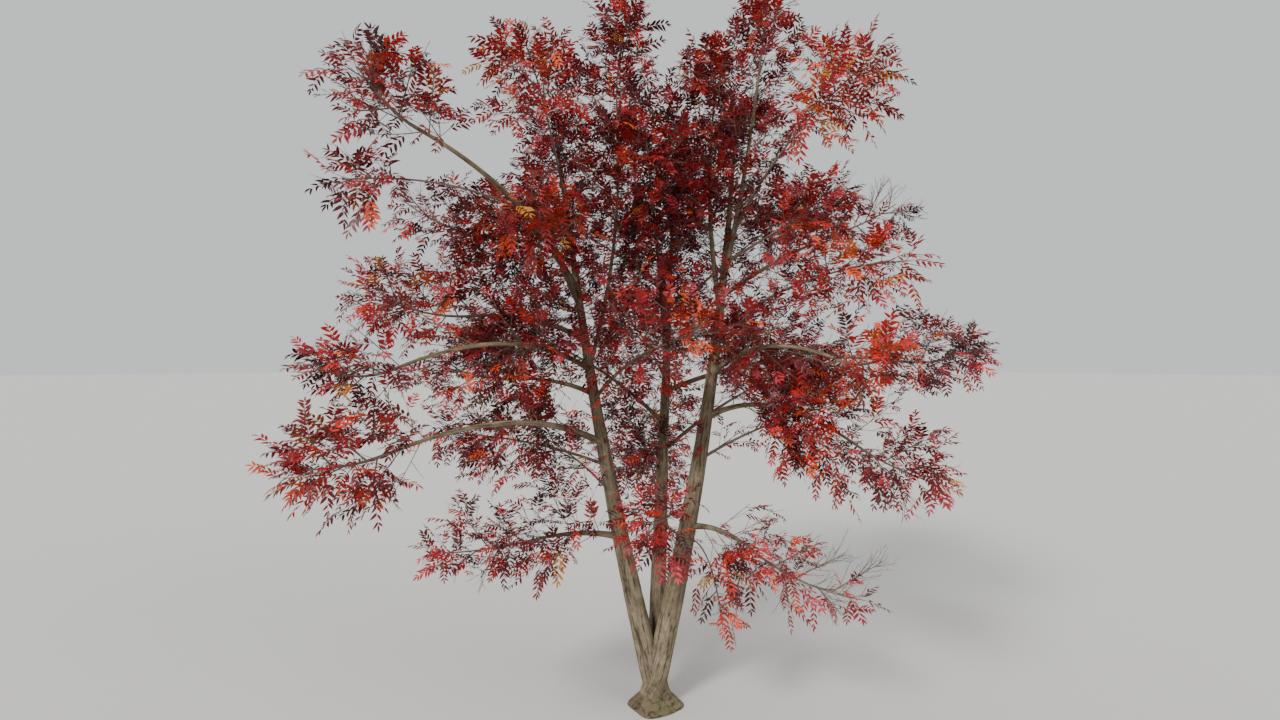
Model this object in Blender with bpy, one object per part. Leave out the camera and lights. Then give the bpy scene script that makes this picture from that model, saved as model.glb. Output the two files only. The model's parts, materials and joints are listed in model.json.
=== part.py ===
"""A sourwood tree in autumn leaf, built as separate limbs and masses of foliage.

Three stems rise from one flared root base. Leaders and boughs curve out of the stems, and each mass
of foliage is one branching stem with twigs and leaf sprays fused to it. Metres, +Z up, with the
origin at the middle of the flat cut at ground level. Looking along +Y shows the front of the tree.
"""

from collections import namedtuple
from math import cos, pi, radians, sin

import bmesh
import bpy
import numpy as np

# Root base: radii and heights of the flare, and the headings of its five roots in degrees
FLARE_MIDDLE = (0.02, 0.03)
FLARE_WAIST = 0.265
FLARE_SPREAD = 0.31
FLARE_HEIGHT = 0.15
FLARE_LEVELS = (0, 0.04, 0.085, 0.14, 0.21, 0.31, 0.44, 0.62)
FLARE_SIDES = 20
ROOT_HEADINGS = (178, 252, 352, 62, 122)
ROOT_HALF_WIDTH = 24
STUB_TOP = 1.80

# Limbs: a collar is the share that a limb swells by where it leaves its parent
CLEARANCE = 0.0003
COLLAR = 0.30
COLLAR_RUN = 2.2
LIMB_ENTERS_AT = 0.80
STEM_SIDES = 10
STEM_RINGS = 11
BOUGH_SIDES = 6
BOUGH_RINGS = 6

# Foliage: angles are in degrees, from a twig's root to its tip where there are two
GOLDEN_ANGLE = radians(137.5)
STEM_REACH = 0.62
STEM_TIP_RADIUS = 0.010
MASS_STEM_SIDES = 4
MASS_STEM_RINGS = 5
LONG_STEM = 2.6
TWIG_SPREAD = (68, 38)
END_TWIG_SPREAD = 3
TWIG_LIFT = 0.12
TWIG_RADIUS = (0.016, 0.011)
TWIG_LEAST = 0.10
TWIG_PAIRED = 0.45
LEAF_ANGLE = 48
LEAF_LENGTH = 0.78
LEAF_WIDTH = 0.44
LEAF_WIDEST = 0.42
LEAF_RIDGE = 0.16
LEAF_THICKNESS = 0.034
LEAF_LEAST = 0.20
LEAF_SHRINKS = (1.0, 0.78, 0.6)
SIDE_LEAF_SINK = 0.003
END_LEAF_SINK = 0.009
LEAF_SPACING = 0.055
CELL_MARGIN = 0.008
LIMB_MARGIN = 0.045
SEED = 7304

Limb = namedtuple("Limb", "name parent start lift carries root_radius tip_radius")
Mass = namedtuple("Mass", "name centre half grows_from height lift droop stem_radius twigs leafy tint")

# A stem starts at a foot, and a leader or bough at a height on its parent. Each leaves at an angle
# above level and ends where it enters the mass that it carries.
LIMBS = (
    Limb("stem_left", None, (0.03, -0.03, 0.25), 76, "foliage_left_top", 0.232, 0.040),
    Limb("stem_right", None, (-0.06, -0.05, 0.25), 76, "foliage_right_top", 0.252, 0.040),
    Limb("stem_middle", None, (0.01, 0.18, 0.25), 81, "foliage_back_top", 0.205, 0.032),
    Limb("leader_left_outer", "stem_left", 8.30, 50, "foliage_horn", 0.078, 0.030),
    Limb("leader_left_inner", "stem_left", 6.85, 68, "foliage_top_middle", 0.046, 0.020),
    Limb("leader_right_inner", "stem_right", 8.05, 76, "foliage_top_right_inner", 0.062, 0.022),
    Limb("leader_right_outer", "stem_right", 8.60, 68, "foliage_top_right", 0.062, 0.022),
    Limb("leader_middle", "stem_middle", 6.75, 72, "foliage_centre_high", 0.064, 0.022),
    Limb("bough_left_lowest", "stem_left", 3.40, 18, "foliage_left_low", 0.072, 0.028),
    Limb("bough_left_far", "stem_left", 5.30, 26, "foliage_left_far", 0.074, 0.028),
    Limb("bough_left_inner", "stem_left", 6.30, 26, "foliage_left_inner", 0.055, 0.026),
    Limb("bough_left_near", "stem_left", 6.80, 26, "foliage_left_near", 0.060, 0.025),
    Limb("bough_left_upper", "stem_left", 7.40, 30, "foliage_left_upper", 0.064, 0.028),
    Limb("bough_left_high", "stem_left", 8.95, 34, "foliage_left_high", 0.056, 0.025),
    Limb("bough_right_lowest", "stem_right", 3.60, 14, "foliage_right_low", 0.070, 0.028),
    Limb("bough_right_drooping", "stem_right", 5.80, 32, "foliage_right_drooping", 0.062, 0.026),
    Limb("bough_right_near", "stem_right", 6.70, 30, "foliage_right_near", 0.052, 0.022),
    Limb("bough_right_high", "stem_right", 8.30, 36, "foliage_right_fan", 0.052, 0.022),
    Limb("bough_right_far", "stem_middle", 6.30, 24, "foliage_right_far", 0.060, 0.026),
    Limb("bough_crossing", "stem_left", 6.20, 38, "foliage_sprig", 0.044, 0.017),
)

# Each mass has a middle and half sizes to the right, to the back and upwards. It grows from its
# limb's tip, or from a height on a stem. Droop turns its far end down, and leafy is the share of
# its twigs that bear leaves.
MASSES = (
    Mass("foliage_horn", (-3.89, -4.0, 10.73), (0.98, 0.80, 0.68), "leader_left_outer",
         None, 0, 0, 0.030, 6, 1.0, "crimson"),
    Mass("foliage_hook", (-4.15, -3.9, 9.50), (0.70, 0.62, 0.58), "leader_left_outer",
         9.70, 10, 0, 0.024, 6, 1.0, "crimson"),
    Mass("foliage_left_high", (-4.01, -0.5, 9.70), (1.08, 0.95, 0.82), "bough_left_high",
         None, 0, 0, 0.025, 6, 0.7, "russet"),
    Mass("foliage_high_left", (-2.02, -2.5, 11.59), (1.10, 0.90, 0.72), "stem_left",
         9.70, 50, 0, 0.030, 7, 1.0, "scarlet"),
    Mass("foliage_top_middle", (-0.65, -0.5, 12.82), (1.05, 1.00, 1.12), "leader_left_inner",
         None, 0, 0, 0.020, 6, 1.0, "crimson"),
    Mass("foliage_top_right_inner", (1.16, 0.0, 12.65), (0.78, 0.85, 0.84), "leader_right_inner",
         None, 0, 0, 0.022, 6, 1.0, "scarlet"),
    Mass("foliage_top_right", (2.04, -1.0, 13.07), (0.70, 0.70, 0.70), "leader_right_outer",
         None, 0, 0, 0.022, 6, 1.0, "scarlet"),
    Mass("foliage_high_right", (2.95, -2.5, 11.30), (0.88, 0.90, 1.14), "leader_right_outer",
         9.55, 50, 0, 0.032, 7, 1.0, "orange"),
    Mass("foliage_right_top", (1.72, 0.2, 11.64), (0.92, 0.90, 0.88), "stem_right",
         None, 0, 0, 0.040, 6, 0.9, "crimson"),
    Mass("foliage_left_top", (-1.99, 0.1, 11.23), (1.22, 1.05, 1.04), "stem_left",
         None, 0, 0, 0.040, 7, 0.9, "crimson"),
    Mass("foliage_centre_left", (-2.01, -1.5, 9.30), (1.00, 0.85, 0.74), "stem_left",
         7.95, 40, 0, 0.028, 6, 1.0, "orange"),
    Mass("foliage_centre_high", (-0.15, -1.0, 10.90), (0.95, 0.90, 0.88), "leader_middle",
         None, 0, 0, 0.022, 6, 1.0, "crimson"),
    Mass("foliage_centre_low", (-0.06, 0.0, 9.48), (0.98, 0.90, 0.86), "stem_right",
         7.65, 52, 0, 0.026, 6, 0.8, "russet"),
    Mass("foliage_right_high", (2.85, -1.0, 9.72), (0.98, 0.90, 0.88), "leader_right_outer",
         9.00, 26, 0, 0.030, 6, 1.0, "scarlet"),
    Mass("foliage_right_fan", (4.66, 0.5, 10.06), (0.90, 0.85, 0.72), "bough_right_high",
         None, 0, 0, 0.022, 5, 0.3, "russet"),
    Mass("foliage_right_upper", (3.28, -2.5, 8.41), (1.05, 0.90, 0.64), "stem_right",
         7.55, 30, 0, 0.036, 6, 1.0, "orange"),
    Mass("foliage_right_near", (3.01, -3.7, 7.03), (0.62, 0.70, 0.56), "bough_right_near",
         None, 0, 0, 0.022, 6, 1.0, "orange"),
    Mass("foliage_right_far", (6.00, 0.5, 7.08), (1.02, 0.95, 0.86), "bough_right_far",
         None, 0, 0, 0.026, 6, 1.0, "russet"),
    Mass("foliage_right_middle", (2.64, -1.0, 5.88), (1.00, 1.00, 1.32), "stem_right",
         4.95, 34, 0, 0.034, 7, 1.0, "scarlet"),
    Mass("foliage_right_drooping", (4.34, -1.5, 5.35), (0.92, 0.95, 1.10), "bough_right_drooping",
         None, 0, 0.45, 0.026, 6, 0.8, "crimson"),
    Mass("foliage_left_upper", (-4.46, -1.0, 8.05), (1.36, 1.05, 0.86), "bough_left_upper",
         None, 0, 0, 0.028, 7, 1.0, "scarlet"),
    Mass("foliage_left_near", (-4.40, -3.8, 6.86), (0.80, 0.70, 0.54), "bough_left_near",
         None, 0, 0, 0.025, 6, 1.0, "crimson"),
    Mass("foliage_left_far", (-4.45, -4.0, 5.66), (0.88, 0.80, 0.88), "bough_left_far",
         None, 0, 0.25, 0.028, 6, 1.0, "scarlet"),
    Mass("foliage_left_inner", (-3.66, -0.7, 6.85), (1.38, 1.00, 0.74), "bough_left_inner",
         None, 0, 0, 0.026, 6, 0.8, "crimson"),
    Mass("foliage_left_middle", (-3.21, -1.0, 5.50), (0.96, 0.95, 0.88), "stem_left",
         4.85, 24, 0, 0.036, 6, 0.9, "crimson"),
    Mass("foliage_left_stem_side", (-1.86, -0.5, 5.20), (0.88, 0.85, 1.42), "stem_left",
         4.25, 50, 0, 0.028, 7, 0.8, "russet"),
    Mass("foliage_left_low", (-3.11, -1.0, 3.62), (1.18, 0.95, 0.84), "bough_left_lowest",
         None, 0, 0.3, 0.028, 6, 0.7, "crimson"),
    Mass("foliage_front_low", (0.06, -1.5, 3.98), (0.92, 0.85, 0.78), "stem_right",
         3.80, 24, 0, 0.026, 6, 1.0, "crimson"),
    Mass("foliage_middle", (-0.19, 0.6, 5.30), (0.86, 0.85, 1.18), "stem_middle",
         4.50, 45, 0, 0.026, 6, 0.9, "russet"),
    Mass("foliage_sprig", (0.57, -2.5, 7.49), (0.46, 0.46, 0.60), "bough_crossing",
         None, 0, 0, 0.017, 5, 1.0, "orange"),
    Mass("foliage_right_low", (2.85, -1.0, 3.06), (1.56, 1.05, 0.92), "bough_right_lowest",
         None, 0, 0.35, 0.028, 7, 0.5, "scarlet"),
    Mass("foliage_hanging", (1.24, -1.0, 2.50), (0.46, 0.46, 0.86), "stem_right",
         3.35, 20, 0.9, 0.018, 5, 1.0, "orange"),
    Mass("foliage_back_left_high", (-2.60, 3.0, 10.60), (1.25, 1.15, 1.05), "stem_middle",
         8.60, 36, 0, 0.038, 7, 1.0, "russet"),
    Mass("foliage_back_right_high", (3.25, 3.0, 10.45), (1.25, 1.15, 1.05), "stem_middle",
         8.00, 42, 0, 0.040, 7, 1.0, "crimson"),
    Mass("foliage_back_left", (-3.61, 3.4, 7.59), (1.35, 1.25, 1.05), "stem_middle",
         5.60, 40, 0, 0.048, 7, 1.0, "crimson"),
    Mass("foliage_back_right", (3.60, 3.2, 6.59), (1.30, 1.25, 1.15), "stem_middle",
         5.00, 34, 0, 0.048, 7, 1.0, "russet"),
    Mass("foliage_back_low", (-0.04, 3.6, 4.33), (1.55, 1.10, 1.02), "stem_middle",
         3.30, 36, 0, 0.042, 7, 1.0, "scarlet"),
    Mass("foliage_back_middle", (-0.59, 4.2, 8.01), (1.15, 1.10, 1.06), "stem_middle",
         6.55, 34, 0, 0.036, 7, 1.0, "scarlet"),
    Mass("foliage_back_top", (0.51, 2.3, 11.23), (1.10, 1.05, 1.10), "stem_middle",
         None, 0, 0, 0.032, 6, 1.0, "russet"),
)

COLOURS = {
    "bark": ((0.235, 0.190, 0.125), 0.90),
    "base_bark": ((0.170, 0.140, 0.090), 0.92),
    "crimson": ((0.300, 0.014, 0.020), 0.60),
    "scarlet": ((0.420, 0.030, 0.020), 0.58),
    "orange": ((0.480, 0.075, 0.022), 0.58),
    "russet": ((0.190, 0.016, 0.020), 0.62),
}


def clear_scene():
    """Removes every object, so that the file holds the tree alone."""
    for obj in list(bpy.data.objects):
        bpy.data.objects.remove(obj, do_unlink=True)


def material(name):
    """A Principled material of one of the named colours."""
    mat = bpy.data.materials.get(name)
    if mat is None:
        colour, roughness = COLOURS[name]
        mat = bpy.data.materials.new(name)
        mat.use_nodes = True
        shader = mat.node_tree.nodes["Principled BSDF"]
        shader.inputs["Base Color"].default_value = (*colour, 1)
        shader.inputs["Roughness"].default_value = roughness
        shader.inputs["Metallic"].default_value = 0
        mat.diffuse_color = (*colour, 1)
    return mat


def unit(vector):
    """The vector at length one."""
    return vector / np.linalg.norm(vector, axis=-1, keepdims=True)


def curve(start, control, end, t):
    """Points of the quadratic curve that leaves start towards control and comes into end from it."""
    t = np.asarray(t, dtype=float)[..., None]
    return (1 - t) ** 2 * start + 2 * t * (1 - t) * control + t**2 * end


def departure(start, towards, lift):
    """The direction that heads level from start to a point, raised by lift degrees."""
    level = unit((towards - start) * (1, 1, 0))
    return level * cos(radians(lift)) + np.array((0, 0, sin(radians(lift))))


def taper(t, root, tip, length, collar):
    """Radius along a limb: a nearly even taper, with a collar that swells its first few widths."""
    along = t * length
    swell = collar * root * np.exp(-along / (COLLAR_RUN * root))
    return tip + (root - tip) * (1 - t) ** 1.05 + swell


class Path:
    """A limb's centre line, a quadratic curve, with its radius at each point."""

    def __init__(self, start, leave, end, root, tip, collar=0.0):
        self.start, self.end = np.array(start, float), np.array(end, float)
        self.control = self.start + leave * 0.5 * np.linalg.norm(self.end - self.start)
        self.root, self.tip, self.collar = root, tip, collar
        steps = self.at(np.linspace(0, 1, 65))
        self.length = np.linalg.norm(np.diff(steps, axis=0), axis=1).sum()

    def at(self, t):
        """Points at the parameters t."""
        return curve(self.start, self.control, self.end, t)

    def towards(self, t):
        """Unit tangents at the parameters t."""
        t = np.asarray(t, dtype=float)[..., None]
        return unit((1 - t) * (self.control - self.start) + t * (self.end - self.control))

    def radius(self, t):
        """Radii at the parameters t."""
        return taper(np.asarray(t, float), self.root, self.tip, self.length, self.collar)

    def on_chords(self, t, rings):
        """Points at the parameters t on the straight lines between the rings of the path's tube."""
        steps = ring_steps(rings)
        return np.stack([np.interp(t, steps, axis) for axis in self.at(steps).T], axis=-1)

    def at_height(self, height):
        """The parameter where a rising path reaches a height."""
        t = np.linspace(0, 1, 400)
        return float(np.interp(height, self.at(t)[:, 2], t))


def side_axes(tangents):
    """Two unit vectors across each tangent, which turn as little as the line itself does."""
    chord = unit(tangents.sum(axis=0))
    guide = np.array((1.0, 0, 0)) if abs(chord[2]) > 0.8 else unit(np.cross(chord, (0, 0, 1.0)))
    first = unit(guide - (tangents @ guide)[:, None] * tangents)
    return first, np.cross(tangents, first)


def ring_faces(rings, sides):
    """Faces of a closed body made of rings of vertices, with a flat face at each end."""
    faces = []
    for row in range(rings - 1):
        for k in range(sides):
            a, b = row * sides + k, row * sides + (k + 1) % sides
            faces.append((a, b, b + sides, a + sides))
    last = (rings - 1) * sides
    faces.append(tuple(reversed(range(sides))))
    faces.append(tuple(range(last, last + sides)))
    return faces


def tube(points, tangents, radii, sides):
    """Vertices and faces of a closed tube: a ring of even sides square to the line at each point."""
    first, second = side_axes(tangents)
    turn = np.arange(sides) * 2 * pi / sides
    ring = first[:, None] * np.cos(turn)[:, None] + second[:, None] * np.sin(turn)[:, None]
    verts = (points[:, None] + ring * np.asarray(radii)[:, None, None]).reshape(-1, 3)
    return verts, ring_faces(len(points), sides)


def ring_steps(rings):
    """Parameters of a tube's rings, closer together near the root."""
    return np.linspace(0, 1, rings) ** 1.25


def limb_tube(path, sides, rings, grown=0.0):
    """A closed tube along a path."""
    t = ring_steps(rings)
    return tube(path.at(t), path.towards(t), path.radius(t) + grown, sides)


def add_object(name, verts, faces, mat=None, origin=(0, 0, 0)):
    """Links a mesh object whose origin is at the given point."""
    mesh = bpy.data.meshes.new(name)
    mesh.from_pydata((np.asarray(verts) - origin).tolist(), [], faces)
    obj = bpy.data.objects.new(name, mesh)
    obj.location = origin
    if mat:
        mesh.materials.append(material(mat))
    bpy.context.scene.collection.objects.link(obj)
    return obj


def settle(obj):
    """Turns what an object's modifiers show into its own mesh."""
    bpy.context.view_layer.update()
    shown = obj.evaluated_get(bpy.context.evaluated_depsgraph_get())
    mesh = bpy.data.meshes.new_from_object(shown)
    mesh.name = obj.name
    obj.modifiers.clear()
    obj.data = mesh


def cut_away(obj, verts, faces):
    """Cuts a solid out of an object."""
    cutter = add_object("cutter", verts, faces)
    cutter.hide_render = True
    cutter.display_type = "WIRE"
    boolean = obj.modifiers.new("fit", "BOOLEAN")
    boolean.operation = "DIFFERENCE"
    boolean.object = cutter
    settle(obj)
    bpy.data.objects.remove(cutter, do_unlink=True)


def fuse(obj, parts):
    """Joins solids to an object by one union on a collection, and keeps its largest body."""
    joined = bpy.data.collections.new("joined")
    bpy.context.scene.collection.children.link(joined)
    for number, (verts, faces) in enumerate(parts):
        piece = add_object(f"piece_{number}", verts, faces)
        bpy.context.scene.collection.objects.unlink(piece)
        joined.objects.link(piece)
    boolean = obj.modifiers.new("join", "BOOLEAN")
    boolean.operation = "UNION"
    boolean.operand_type = "COLLECTION"
    boolean.collection = joined
    settle(obj)
    for piece in list(joined.objects):
        bpy.data.objects.remove(piece, do_unlink=True)
    bpy.data.collections.remove(joined)
    keep_largest(obj.data)


def keep_largest(mesh):
    """Drops loose scraps and sealed hollows: all but the body with the most vertices."""
    bm = bmesh.new()
    bm.from_mesh(mesh)
    left, bodies = set(bm.verts), []
    while left:
        body, edge = set(), [left.pop()]
        while edge:
            vert = edge.pop()
            body.add(vert)
            near = {e.other_vert(vert) for e in vert.link_edges} & left
            left -= near
            edge.extend(near)
        bodies.append(body)
    bodies.sort(key=len)
    for body in bodies[:-1]:
        bmesh.ops.delete(bm, geom=list(body), context="VERTS")
    bm.to_mesh(mesh)
    bm.free()


def cut_level(obj, height, keep_below):
    """Cuts an object by a level plane, keeps one side of it and closes the cut with a flat face."""
    bm = bmesh.new()
    bm.from_mesh(obj.data)
    level = height - obj.location.z
    whole = [*bm.verts, *bm.edges, *bm.faces]
    bmesh.ops.bisect_plane(
        bm, geom=whole, plane_co=(0, 0, level), plane_no=(0, 0, 1),
        clear_outer=keep_below, clear_inner=not keep_below,
    )
    bmesh.ops.holes_fill(bm, edges=[e for e in bm.edges if e.is_boundary])
    bmesh.ops.recalc_face_normals(bm, faces=bm.faces)
    bm.to_mesh(obj.data)
    bm.free()


def shade_round(obj, angle=50):
    """Shades a round piece smooth, with edges sharper than the angle kept."""
    obj.data.shade_smooth()
    obj.data.set_sharp_from_angle(angle=radians(angle))


def flare():
    """The root flare: rings whose radius swells towards the ground, most at each root's heading."""
    sides, levels = FLARE_SIDES, len(FLARE_LEVELS)
    turn = np.arange(sides) * 2 * pi / sides
    away = np.degrees(turn)[:, None] - np.array(ROOT_HEADINGS)
    away = (away + 180) % 360 - 180
    lobe = np.exp(-((away / ROOT_HALF_WIDTH) ** 2)).sum(axis=1)
    height = np.array(FLARE_LEVELS)[:, None]
    fade = np.exp(-((height / (FLARE_HEIGHT * (0.8 + 0.55 * lobe))) ** 1.4))
    radius = FLARE_WAIST - 0.05 * height + FLARE_SPREAD * (0.80 + 0.28 * lobe) * fade
    verts = np.empty((levels, sides, 3))
    verts[..., 0] = FLARE_MIDDLE[0] + radius * np.cos(turn)
    verts[..., 1] = FLARE_MIDDLE[1] + radius * np.sin(turn)
    verts[..., 2] = height
    return verts.reshape(-1, 3), ring_faces(levels, sides)


def lay_out():
    """The path of every limb and of every mass's own stem, by name."""
    masses = {mass.name: mass for mass in MASSES}
    limbs, stems = {}, {}
    for limb in LIMBS:
        mass = masses[limb.carries]
        centre, half = np.array(mass.centre), np.array(mass.half)
        if limb.parent:
            parent = limbs[limb.parent]
            start = parent.at(parent.at_height(limb.start))
        else:
            start = np.array(limb.start)
        away = start - centre
        tip = centre + away * LIMB_ENTERS_AT / np.linalg.norm(away / half)
        limbs[limb.name] = Path(
            start, departure(start, tip, limb.lift), tip, limb.root_radius, limb.tip_radius,
            COLLAR if limb.parent else 0.0,
        )
    for mass in MASSES:
        centre, half = np.array(mass.centre), np.array(mass.half)
        limb = limbs[mass.grows_from]
        if mass.height is None:
            leave = limb.towards(1.0)
            start = limb.end + leave * CLEARANCE
            outward, collar = centre - limb.start, 0.0
        else:
            start = limb.at(limb.at_height(mass.height))
            leave = departure(start, centre, mass.lift)
            outward, collar = centre - start, COLLAR
        outward = unit(outward / half) * (1 - mass.droop) + np.array((0, 0, -mass.droop))
        end = centre + unit(outward) * half * STEM_REACH
        stems[mass.name] = Path(start, leave, end, mass.stem_radius, STEM_TIP_RADIUS, collar)
    return limbs, stems


class Space:
    """The room that a mass may fill: its rounded form, its own cell, and clear of every limb."""

    def __init__(self, mass, limbs, stems):
        self.centre, self.half = np.array(mass.centre), np.array(mass.half)
        others = [other for other in MASSES if other is not mass]
        middles = np.array([other.centre for other in others])
        widths = np.array([np.mean(other.half) for other in others])
        apart = middles - self.centre
        gap = np.linalg.norm(apart, axis=1)
        share = 0.5 + (np.mean(self.half) ** 2 - widths**2) / (2 * gap**2)
        self.normals = apart / gap[:, None]
        self.limits = gap * share - CELL_MARGIN
        lines = [*limbs.values(), *(path for name, path in stems.items() if name != mass.name)]
        fine = [np.linspace(0, 1, int(line.length / 0.05) + 2) for line in lines]
        self.line_points = np.concatenate([line.at(t) for line, t in zip(lines, fine)])
        self.line_radii = np.concatenate([line.radius(t) for line, t in zip(lines, fine)])
        near = np.linalg.norm((self.line_points - self.centre) / (self.half + 0.6), axis=1) < 1
        self.line_points, self.line_radii = self.line_points[near], self.line_radii[near]

    def reach(self, point, direction):
        """How far the rounded form goes on from a point in a direction."""
        p, d = (point - self.centre) / self.half, direction / self.half
        a, b, c = d @ d, p @ d, p @ p - 1
        return (-b + np.sqrt(max(b * b - a * c, 0))) / a

    def allows(self, points, slack=1.10):
        """Whether all the points lie in the form and the cell, and clear of the limbs."""
        if (np.linalg.norm((points - self.centre) / self.half, axis=1) > slack).any():
            return False
        if ((points - self.centre) @ self.normals.T > self.limits).any():
            return False
        if not len(self.line_points):
            return True
        apart = np.linalg.norm(points[:, None] - self.line_points, axis=2) - self.line_radii
        return apart.min() > LIMB_MARGIN


def leaf_frame(direction, roll):
    """A leaf's sideways and upward axes: its face looks up, rolled about its length."""
    side = np.cross(direction, (0, 0, 1.0))
    side = unit(side) if np.linalg.norm(side) > 0.2 else np.array((1.0, 0, 0))
    up = np.cross(side, direction)
    return side * cos(roll) + up * sin(roll), up * cos(roll) - side * sin(roll)


def leaf(root, direction, roll, length, sink):
    """A leaf spray's solid: eight faces between a sunk root, a tip, two edges and two ridges."""
    side, up = leaf_frame(direction, roll)
    width, thick = length * LEAF_WIDTH / 2, length * LEAF_THICKNESS / 2
    verts = np.array((
        root - direction * sink,
        root + direction * length,
        root + direction * length * LEAF_WIDEST + side * width,
        root + direction * length * LEAF_WIDEST - side * width,
        root + direction * length * LEAF_RIDGE + up * thick,
        root + direction * length * LEAF_RIDGE - up * thick,
    ))
    faces = [(0, 2, 4), (0, 4, 3), (0, 3, 5), (0, 5, 2), (1, 4, 2), (1, 3, 4), (1, 5, 3), (1, 2, 5)]
    return verts, faces


def leaf_points(verts):
    """Points spread over a leaf, which stand for it when its space is tested."""
    along = np.linspace(0, 1, 9)[:, None, None]
    across = np.linspace(-1, 1, 5)[None, :, None]
    spine = verts[0] + (verts[1] - verts[0]) * along
    wide = np.interp(along, (0, LEAF_WIDEST, 1), (0, 1, 0)) * (verts[2] - verts[3]) / 2
    return (spine + wide * across).reshape(-1, 3)


def apart(spots, taken):
    """Whether a leaf's points keep clear of the leaves already there."""
    return all(
        np.linalg.norm(spots[:, None] - other, axis=2).min() > LEAF_SPACING for other in taken
    )


def first_twig(path, space):
    """The parameter where a mass's stem is inside the rounded form and clear of its limb."""
    steps = np.linspace(0, 1, 60)
    depth = np.linalg.norm((path.at(steps) - space.centre) / space.half, axis=1)
    return max(steps[np.argmax(depth < 0.95)], 0.12)


def leaf_stations(run):
    """The share of a twig and the angle of each leaf: one at the tip, the others at its sides."""
    pairs = 1 if run < TWIG_PAIRED else 2
    sides = [(0.90 - 0.55 * pair / pairs, LEAF_ANGLE * (-1) ** pair) for pair in range(pairs)]
    return [(1.0, 0), *sides]


def grow(mass, path, rings, space, rng):
    """Twigs and leaves of a mass, as solids.

    Twigs leave the stem at even steps, each turned by the golden angle from the last, and run most
    of the way to the rounded form's surface. The last one goes on from the stem's own end. A leafy
    twig has a leaf at its tip and others at its sides. What would leave the space or touch a limb
    is skipped, and a leaf that doesn't fit is tried at smaller sizes first.
    """
    parts, taken = [], []
    first = first_twig(path, space)
    turn = rng.uniform(0, 2 * pi)
    for k in range(mass.twigs + 1):
        ahead = (k + 0.3) / (mass.twigs + 0.3)
        t = first + (1 - first) * ahead
        base, tangent = path.on_chords(t, rings), path.towards(t)
        spread = radians(np.interp(ahead, (0, 1), TWIG_SPREAD) if ahead < 1 else END_TWIG_SPREAD)
        across, _ = leaf_frame(tangent, turn + k * GOLDEN_ANGLE)
        heading = unit(tangent * cos(spread) + across * sin(spread) + (0, 0, TWIG_LIFT))
        room = space.reach(base, heading) * rng.uniform(0.86, 1.0)
        length = min(LEAF_LENGTH, room * 0.62) * rng.uniform(0.86, 1.1)
        bare = rng.uniform() > mass.leafy
        rolls = rng.uniform(-0.6, 0.6, 4)
        run = room if bare else room - length * 0.85
        if run < TWIG_LEAST or not space.allows(base + heading * np.linspace(0.04, run, 24)[:, None]):
            continue
        thick = min(TWIG_RADIUS[0], path.radius(t) * 0.8)
        ends = base + heading * np.array((0, run))[:, None]
        parts.append(tube(ends, np.array((heading, heading)), (thick, TWIG_RADIUS[1]), 3))
        if bare:
            continue
        for (share, angle), roll in zip(leaf_stations(run), rolls):
            side, _ = leaf_frame(heading, roll * 0.8)
            way = unit(heading * cos(radians(angle)) + side * sin(radians(angle)))
            root = base + heading * run * share
            sink = SIDE_LEAF_SINK if angle else END_LEAF_SINK
            whole = min(length, space.reach(root, way) * 1.02)
            for size in whole * np.array(LEAF_SHRINKS):
                verts, faces = leaf(root, way, roll, size, sink)
                spots = leaf_points(verts)
                if size > LEAF_LEAST and space.allows(spots) and apart(spots[10:], taken):
                    parts.append((verts, faces))
                    taken.append(spots[10:])
                    break
    return parts


def build_base(stems):
    """The root base: the flare fused with the feet of the three stems, cut level above the forks."""
    base = add_object("root_base", *flare(), "base_bark")
    feet = []
    for path in stems:
        foot = add_object("foot", *limb_tube(path, STEM_SIDES, STEM_RINGS))
        cut_level(foot, STUB_TOP, keep_below=True)
        verts = [tuple(v.co) for v in foot.data.vertices]
        feet.append((verts, [tuple(f.vertices) for f in foot.data.polygons]))
        bpy.data.objects.remove(foot, do_unlink=True)
    fuse(base, feet)
    shade_round(base, 60)
    return base


def build_limb(limb, path, parent_path):
    """A stem that stands on the base, or a bough cut to fit its parent's side."""
    if limb.parent is None:
        obj = add_object(limb.name, *limb_tube(path, STEM_SIDES, STEM_RINGS), "bark", path.start)
        cut_level(obj, STUB_TOP + CLEARANCE, keep_below=False)
    else:
        obj = add_object(limb.name, *limb_tube(path, BOUGH_SIDES, BOUGH_RINGS), "bark", path.start)
        cut_by_limb(obj, limb.parent, parent_path)
    shade_round(obj)
    return obj


def cut_by_limb(obj, name, path):
    """Cuts an object by a limb's surface, grown by the clearance."""
    stem = name.startswith("stem")
    sides, rings = (STEM_SIDES, STEM_RINGS) if stem else (BOUGH_SIDES, BOUGH_RINGS)
    cut_away(obj, *limb_tube(path, sides, rings, grown=CLEARANCE / cos(pi / sides)))
    keep_largest(obj.data)


def build_mass(mass, path, limbs, space, rng):
    """A mass of foliage: its stem, cut to fit its limb, with twigs and leaves fused on."""
    rings = MASS_STEM_RINGS if path.length < LONG_STEM else 2 * MASS_STEM_RINGS - 2
    stem = limb_tube(path, MASS_STEM_SIDES, rings)
    obj = add_object(mass.name, *stem, mass.tint, path.start)
    if mass.height is not None:
        cut_by_limb(obj, mass.grows_from, limbs[mass.grows_from])
    fuse(obj, grow(mass, path, rings, space, rng))
    return obj


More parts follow.
